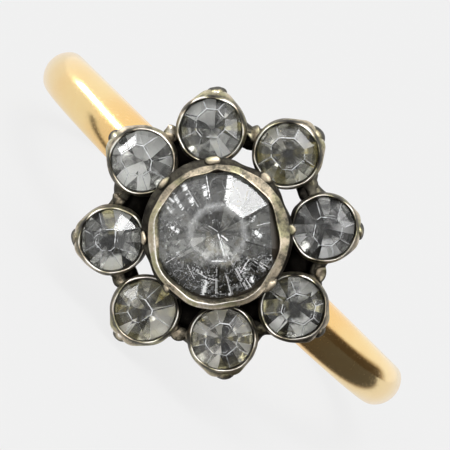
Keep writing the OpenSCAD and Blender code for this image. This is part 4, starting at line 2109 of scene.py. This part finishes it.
@dataclass
class Studio:
    """Pale floor, soft light from all sides with brighter panels, and the camera.

    Seen straight on, the backdrop and the floor are one plain pale tone, and the floor takes a faint
    shadow. What the ring reflects is the light round it: dim towards the camera, a dark corner low on its
    right, a soft box over it, two panels on its left and many small lamps. `floor_half` is in metres, and
    the other lengths are in millimetres.
    """

    head: HeadFrame
    photo: Photo
    pale: float = 0.870
    shadow_share: float = 0.061
    floor_albedo: float = 0.030
    ambient: float = 1.0
    floor_glow: float = 0.80
    floor_dark: float = 0.03
    dark_from: float = 4.5
    dark_until: float = -7.0
    dark_slant: float = 0.72
    streak_at: float = -4.9
    floor_half: float = 3.0
    room: float = 1.6
    lamp_size: float = 0.42
    lamp_strength: float = 5.0
    camera_distance: float = 177.25
    camera_lift: float = 1.25
    sensor: float = 36.0
    clip: tuple[float, float] = (0.01, 10.0)
    flower_h: float = 12.75
    panels: tuple[SoftPanel, ...] = (
        SoftPanel(-16.7, 67.9, 12.0, 12.0, 13.5),
        SoftPanel(-99.0, 12.0, 19.0, 4.0, 8.0, 3.0, 14.0),
        SoftPanel(-77.0, 15.0, 5.0, 4.0, 14.0, 3.0),
    )

    def build_light(self) -> None:
        """World light. Camera rays that miss everything see the backdrop's plain tone."""
        world = bpy.data.worlds.new("studio")
        world.use_nodes = True
        bpy.context.scene.world = world
        paint = Paint(world.node_tree)
        direction = paint.value("ShaderNodeTexCoord", {}, {}, "Generated")
        front = paint.dot(direction, tuple(self.head.direction(np.array([0.0, 0.0, 1.0]))))
        right = paint.dot(direction, (1.0, 0.0, 0.0))
        height = paint.dot(direction, (0.0, 0.0, 1.0))

        # Dim towards the camera, and dark low on the right.
        dim = front.fade(0.80, 0.97)
        corner = right.fade(0.45, 0.75) * (height - front * 0.3).fade(0.52, 0.36) * front.fade(-0.76, -0.58)
        glow = self.ambient * (1.0 - dim * 0.75) * (1.0 - corner * 0.93)

        # Light and dark things in the room.
        room = paint.noise(direction, 0.35, 1.0).fade(0.42, 0.58) - 0.5
        glow = glow * (1.0 + room * front.fade(0.30, 0.55) * self.room)

        # Small lamps on the side that the flower faces.
        cells = paint.cells(direction, 1 / 3.4)
        lamps = cells.fade(self.lamp_size, self.lamp_size * 0.6) * front.fade(0.93, 0.80)
        lamps = lamps * front.fade(0.25, 0.45) * height.fade(0.05, 0.2) * right.fade(0.80, 0.68)
        glow = lamps * self.lamp_strength + glow
        for panel in self.panels:
            glow = panel.glow(paint, direction) + glow

        # The dark corner is warm.
        hue = paint.mix(corner * front.fade(0.35, 0.10), (1.0, 1.0, 1.0), (1.0, 0.75, 0.50))
        lights = paint.value("ShaderNodeBackground", {}, {"Color": hue, "Strength": glow})
        backdrop = paint.value("ShaderNodeBackground", {}, {"Color": (1, 1, 1, 1), "Strength": self.pale})
        straight = paint.value("ShaderNodeLightPath", {}, {}, "Is Camera Ray")
        paint.finish(paint.blend(straight, lights, backdrop), "ShaderNodeOutputWorld")

    def build_floor(self) -> None:
        """Large pale floor. Its own glow makes up for most of the light that the ring keeps from it.

        Its darker parts show only in what the ring reflects.
        """
        paint, material = Paint.of_material("studio_floor")
        place = paint.place()
        across, behind = paint.dot(place, (1.0, 0.0, 0.0)), paint.dot(place, (0.0, 1.0, 0.0))

        # What the ring reflects: a dark part on the right, and a dark streak on the left.
        limit = (behind - across * self.dark_slant).fade(self.dark_until, self.dark_until - 1.6)
        dark = across.fade(self.dark_from, self.dark_from + 1.5) * limit
        streak = abs(behind - self.streak_at).fade(0.9, 0.2)
        streak = streak * across.fade(-5.0, -7.0) * across.fade(-22.0, -15.0)
        glow = self.floor_glow - dark.over(streak) * (self.floor_glow - self.floor_dark)

        # What the camera sees straight on is one tone.
        straight = paint.value("ShaderNodeLightPath", {}, {}, "Is Camera Ray")
        strength = glow + (self.pale - self.shadow_share - glow) * straight
        hue = paint.mix(dark * (1.0 - straight), (1.0, 1.0, 1.0), (1.0, 0.78, 0.55))
        light = paint.value("ShaderNodeEmission", {}, {"Color": hue, "Strength": strength})
        matt = paint.value("ShaderNodeBsdfDiffuse", {}, {"Color": (self.floor_albedo,) * 3 + (1.0,)})
        paint.finish(paint.value("ShaderNodeAddShader", {}, {0: light, 1: matt}))

        half = self.floor_half
        corners = [(-half, -half, 0), (half, -half, 0), (half, half, 0), (-half, half, 0)]
        mesh = bpy.data.meshes.new("studio_floor")
        mesh.from_pydata(corners, [], [(0, 1, 2, 3)])
        mesh.materials.append(material)
        floor = bpy.data.objects.new("studio_floor", mesh)
        bpy.context.scene.collection.objects.link(floor)

    def build_camera(self) -> None:
        """Camera before the flower, turned so that the shank runs from upper left to lower right."""
        lift, turn = math.radians(self.camera_lift), math.radians(self.photo.turn)
        back = self.head.direction(np.array([0.0, math.sin(lift), math.cos(lift)]))
        right = np.array([math.cos(turn), math.sin(turn) * math.cos(lift), -math.sin(turn) * math.sin(lift)])
        right = self.head.direction(right)
        up = np.cross(back, right)
        centre = self.photo.side / 2
        off = np.array([centre - self.photo.middle[0], self.photo.middle[1] - centre]) / self.photo.scale
        flower = self.head.place(np.array([0.0, 0.0, self.flower_h]))
        place = flower + MM * (right * off[0] + up * off[1] + back * self.camera_distance)
        data = bpy.data.cameras.new("camera")
        data.sensor_width = self.sensor
        data.lens = self.photo.scale * self.camera_distance * data.sensor_width / self.photo.side
        data.clip_start, data.clip_end = self.clip
        camera = bpy.data.objects.new("camera", data)
        matrix = np.eye(4)
        matrix[:3] = np.stack([right, up, back, place], axis=1)
        camera.matrix_world = Matrix(matrix.tolist())
        bpy.context.scene.collection.objects.link(camera)
        bpy.context.scene.camera = camera

    def build(self) -> None:
        """Builds the light, the floor and the camera."""
        self.build_light()
        self.build_floor()
        self.build_camera()
        scene = bpy.context.scene
        scene.view_settings.view_transform = "Standard"
        scene.cycles.max_bounces = 16
        scene.cycles.glossy_bounces = 12
        scene.cycles.transmission_bounces = 12
        LOG.info("studio: %d panels", len(self.panels))


def main() -> None:
    """Builds the ring on the frame."""
    logging.basicConfig(level=logging.INFO, format="%(name)s: %(message)s")
    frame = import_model()
    head = HeadFrame.from_record(frame["record"])
    photo = Photo()
    bench = Bench(head)
    bench.add("shank_band", Shank().skin(), [WornGold().material()], Slot.GOLD, "shank")
    flower = Flower(head, frame["nodes"], photo)
    flower.build_stones(bench)
    flower.build_metal(bench)
    Studio(head, photo).build()


if __name__ == "__main__":
    main()
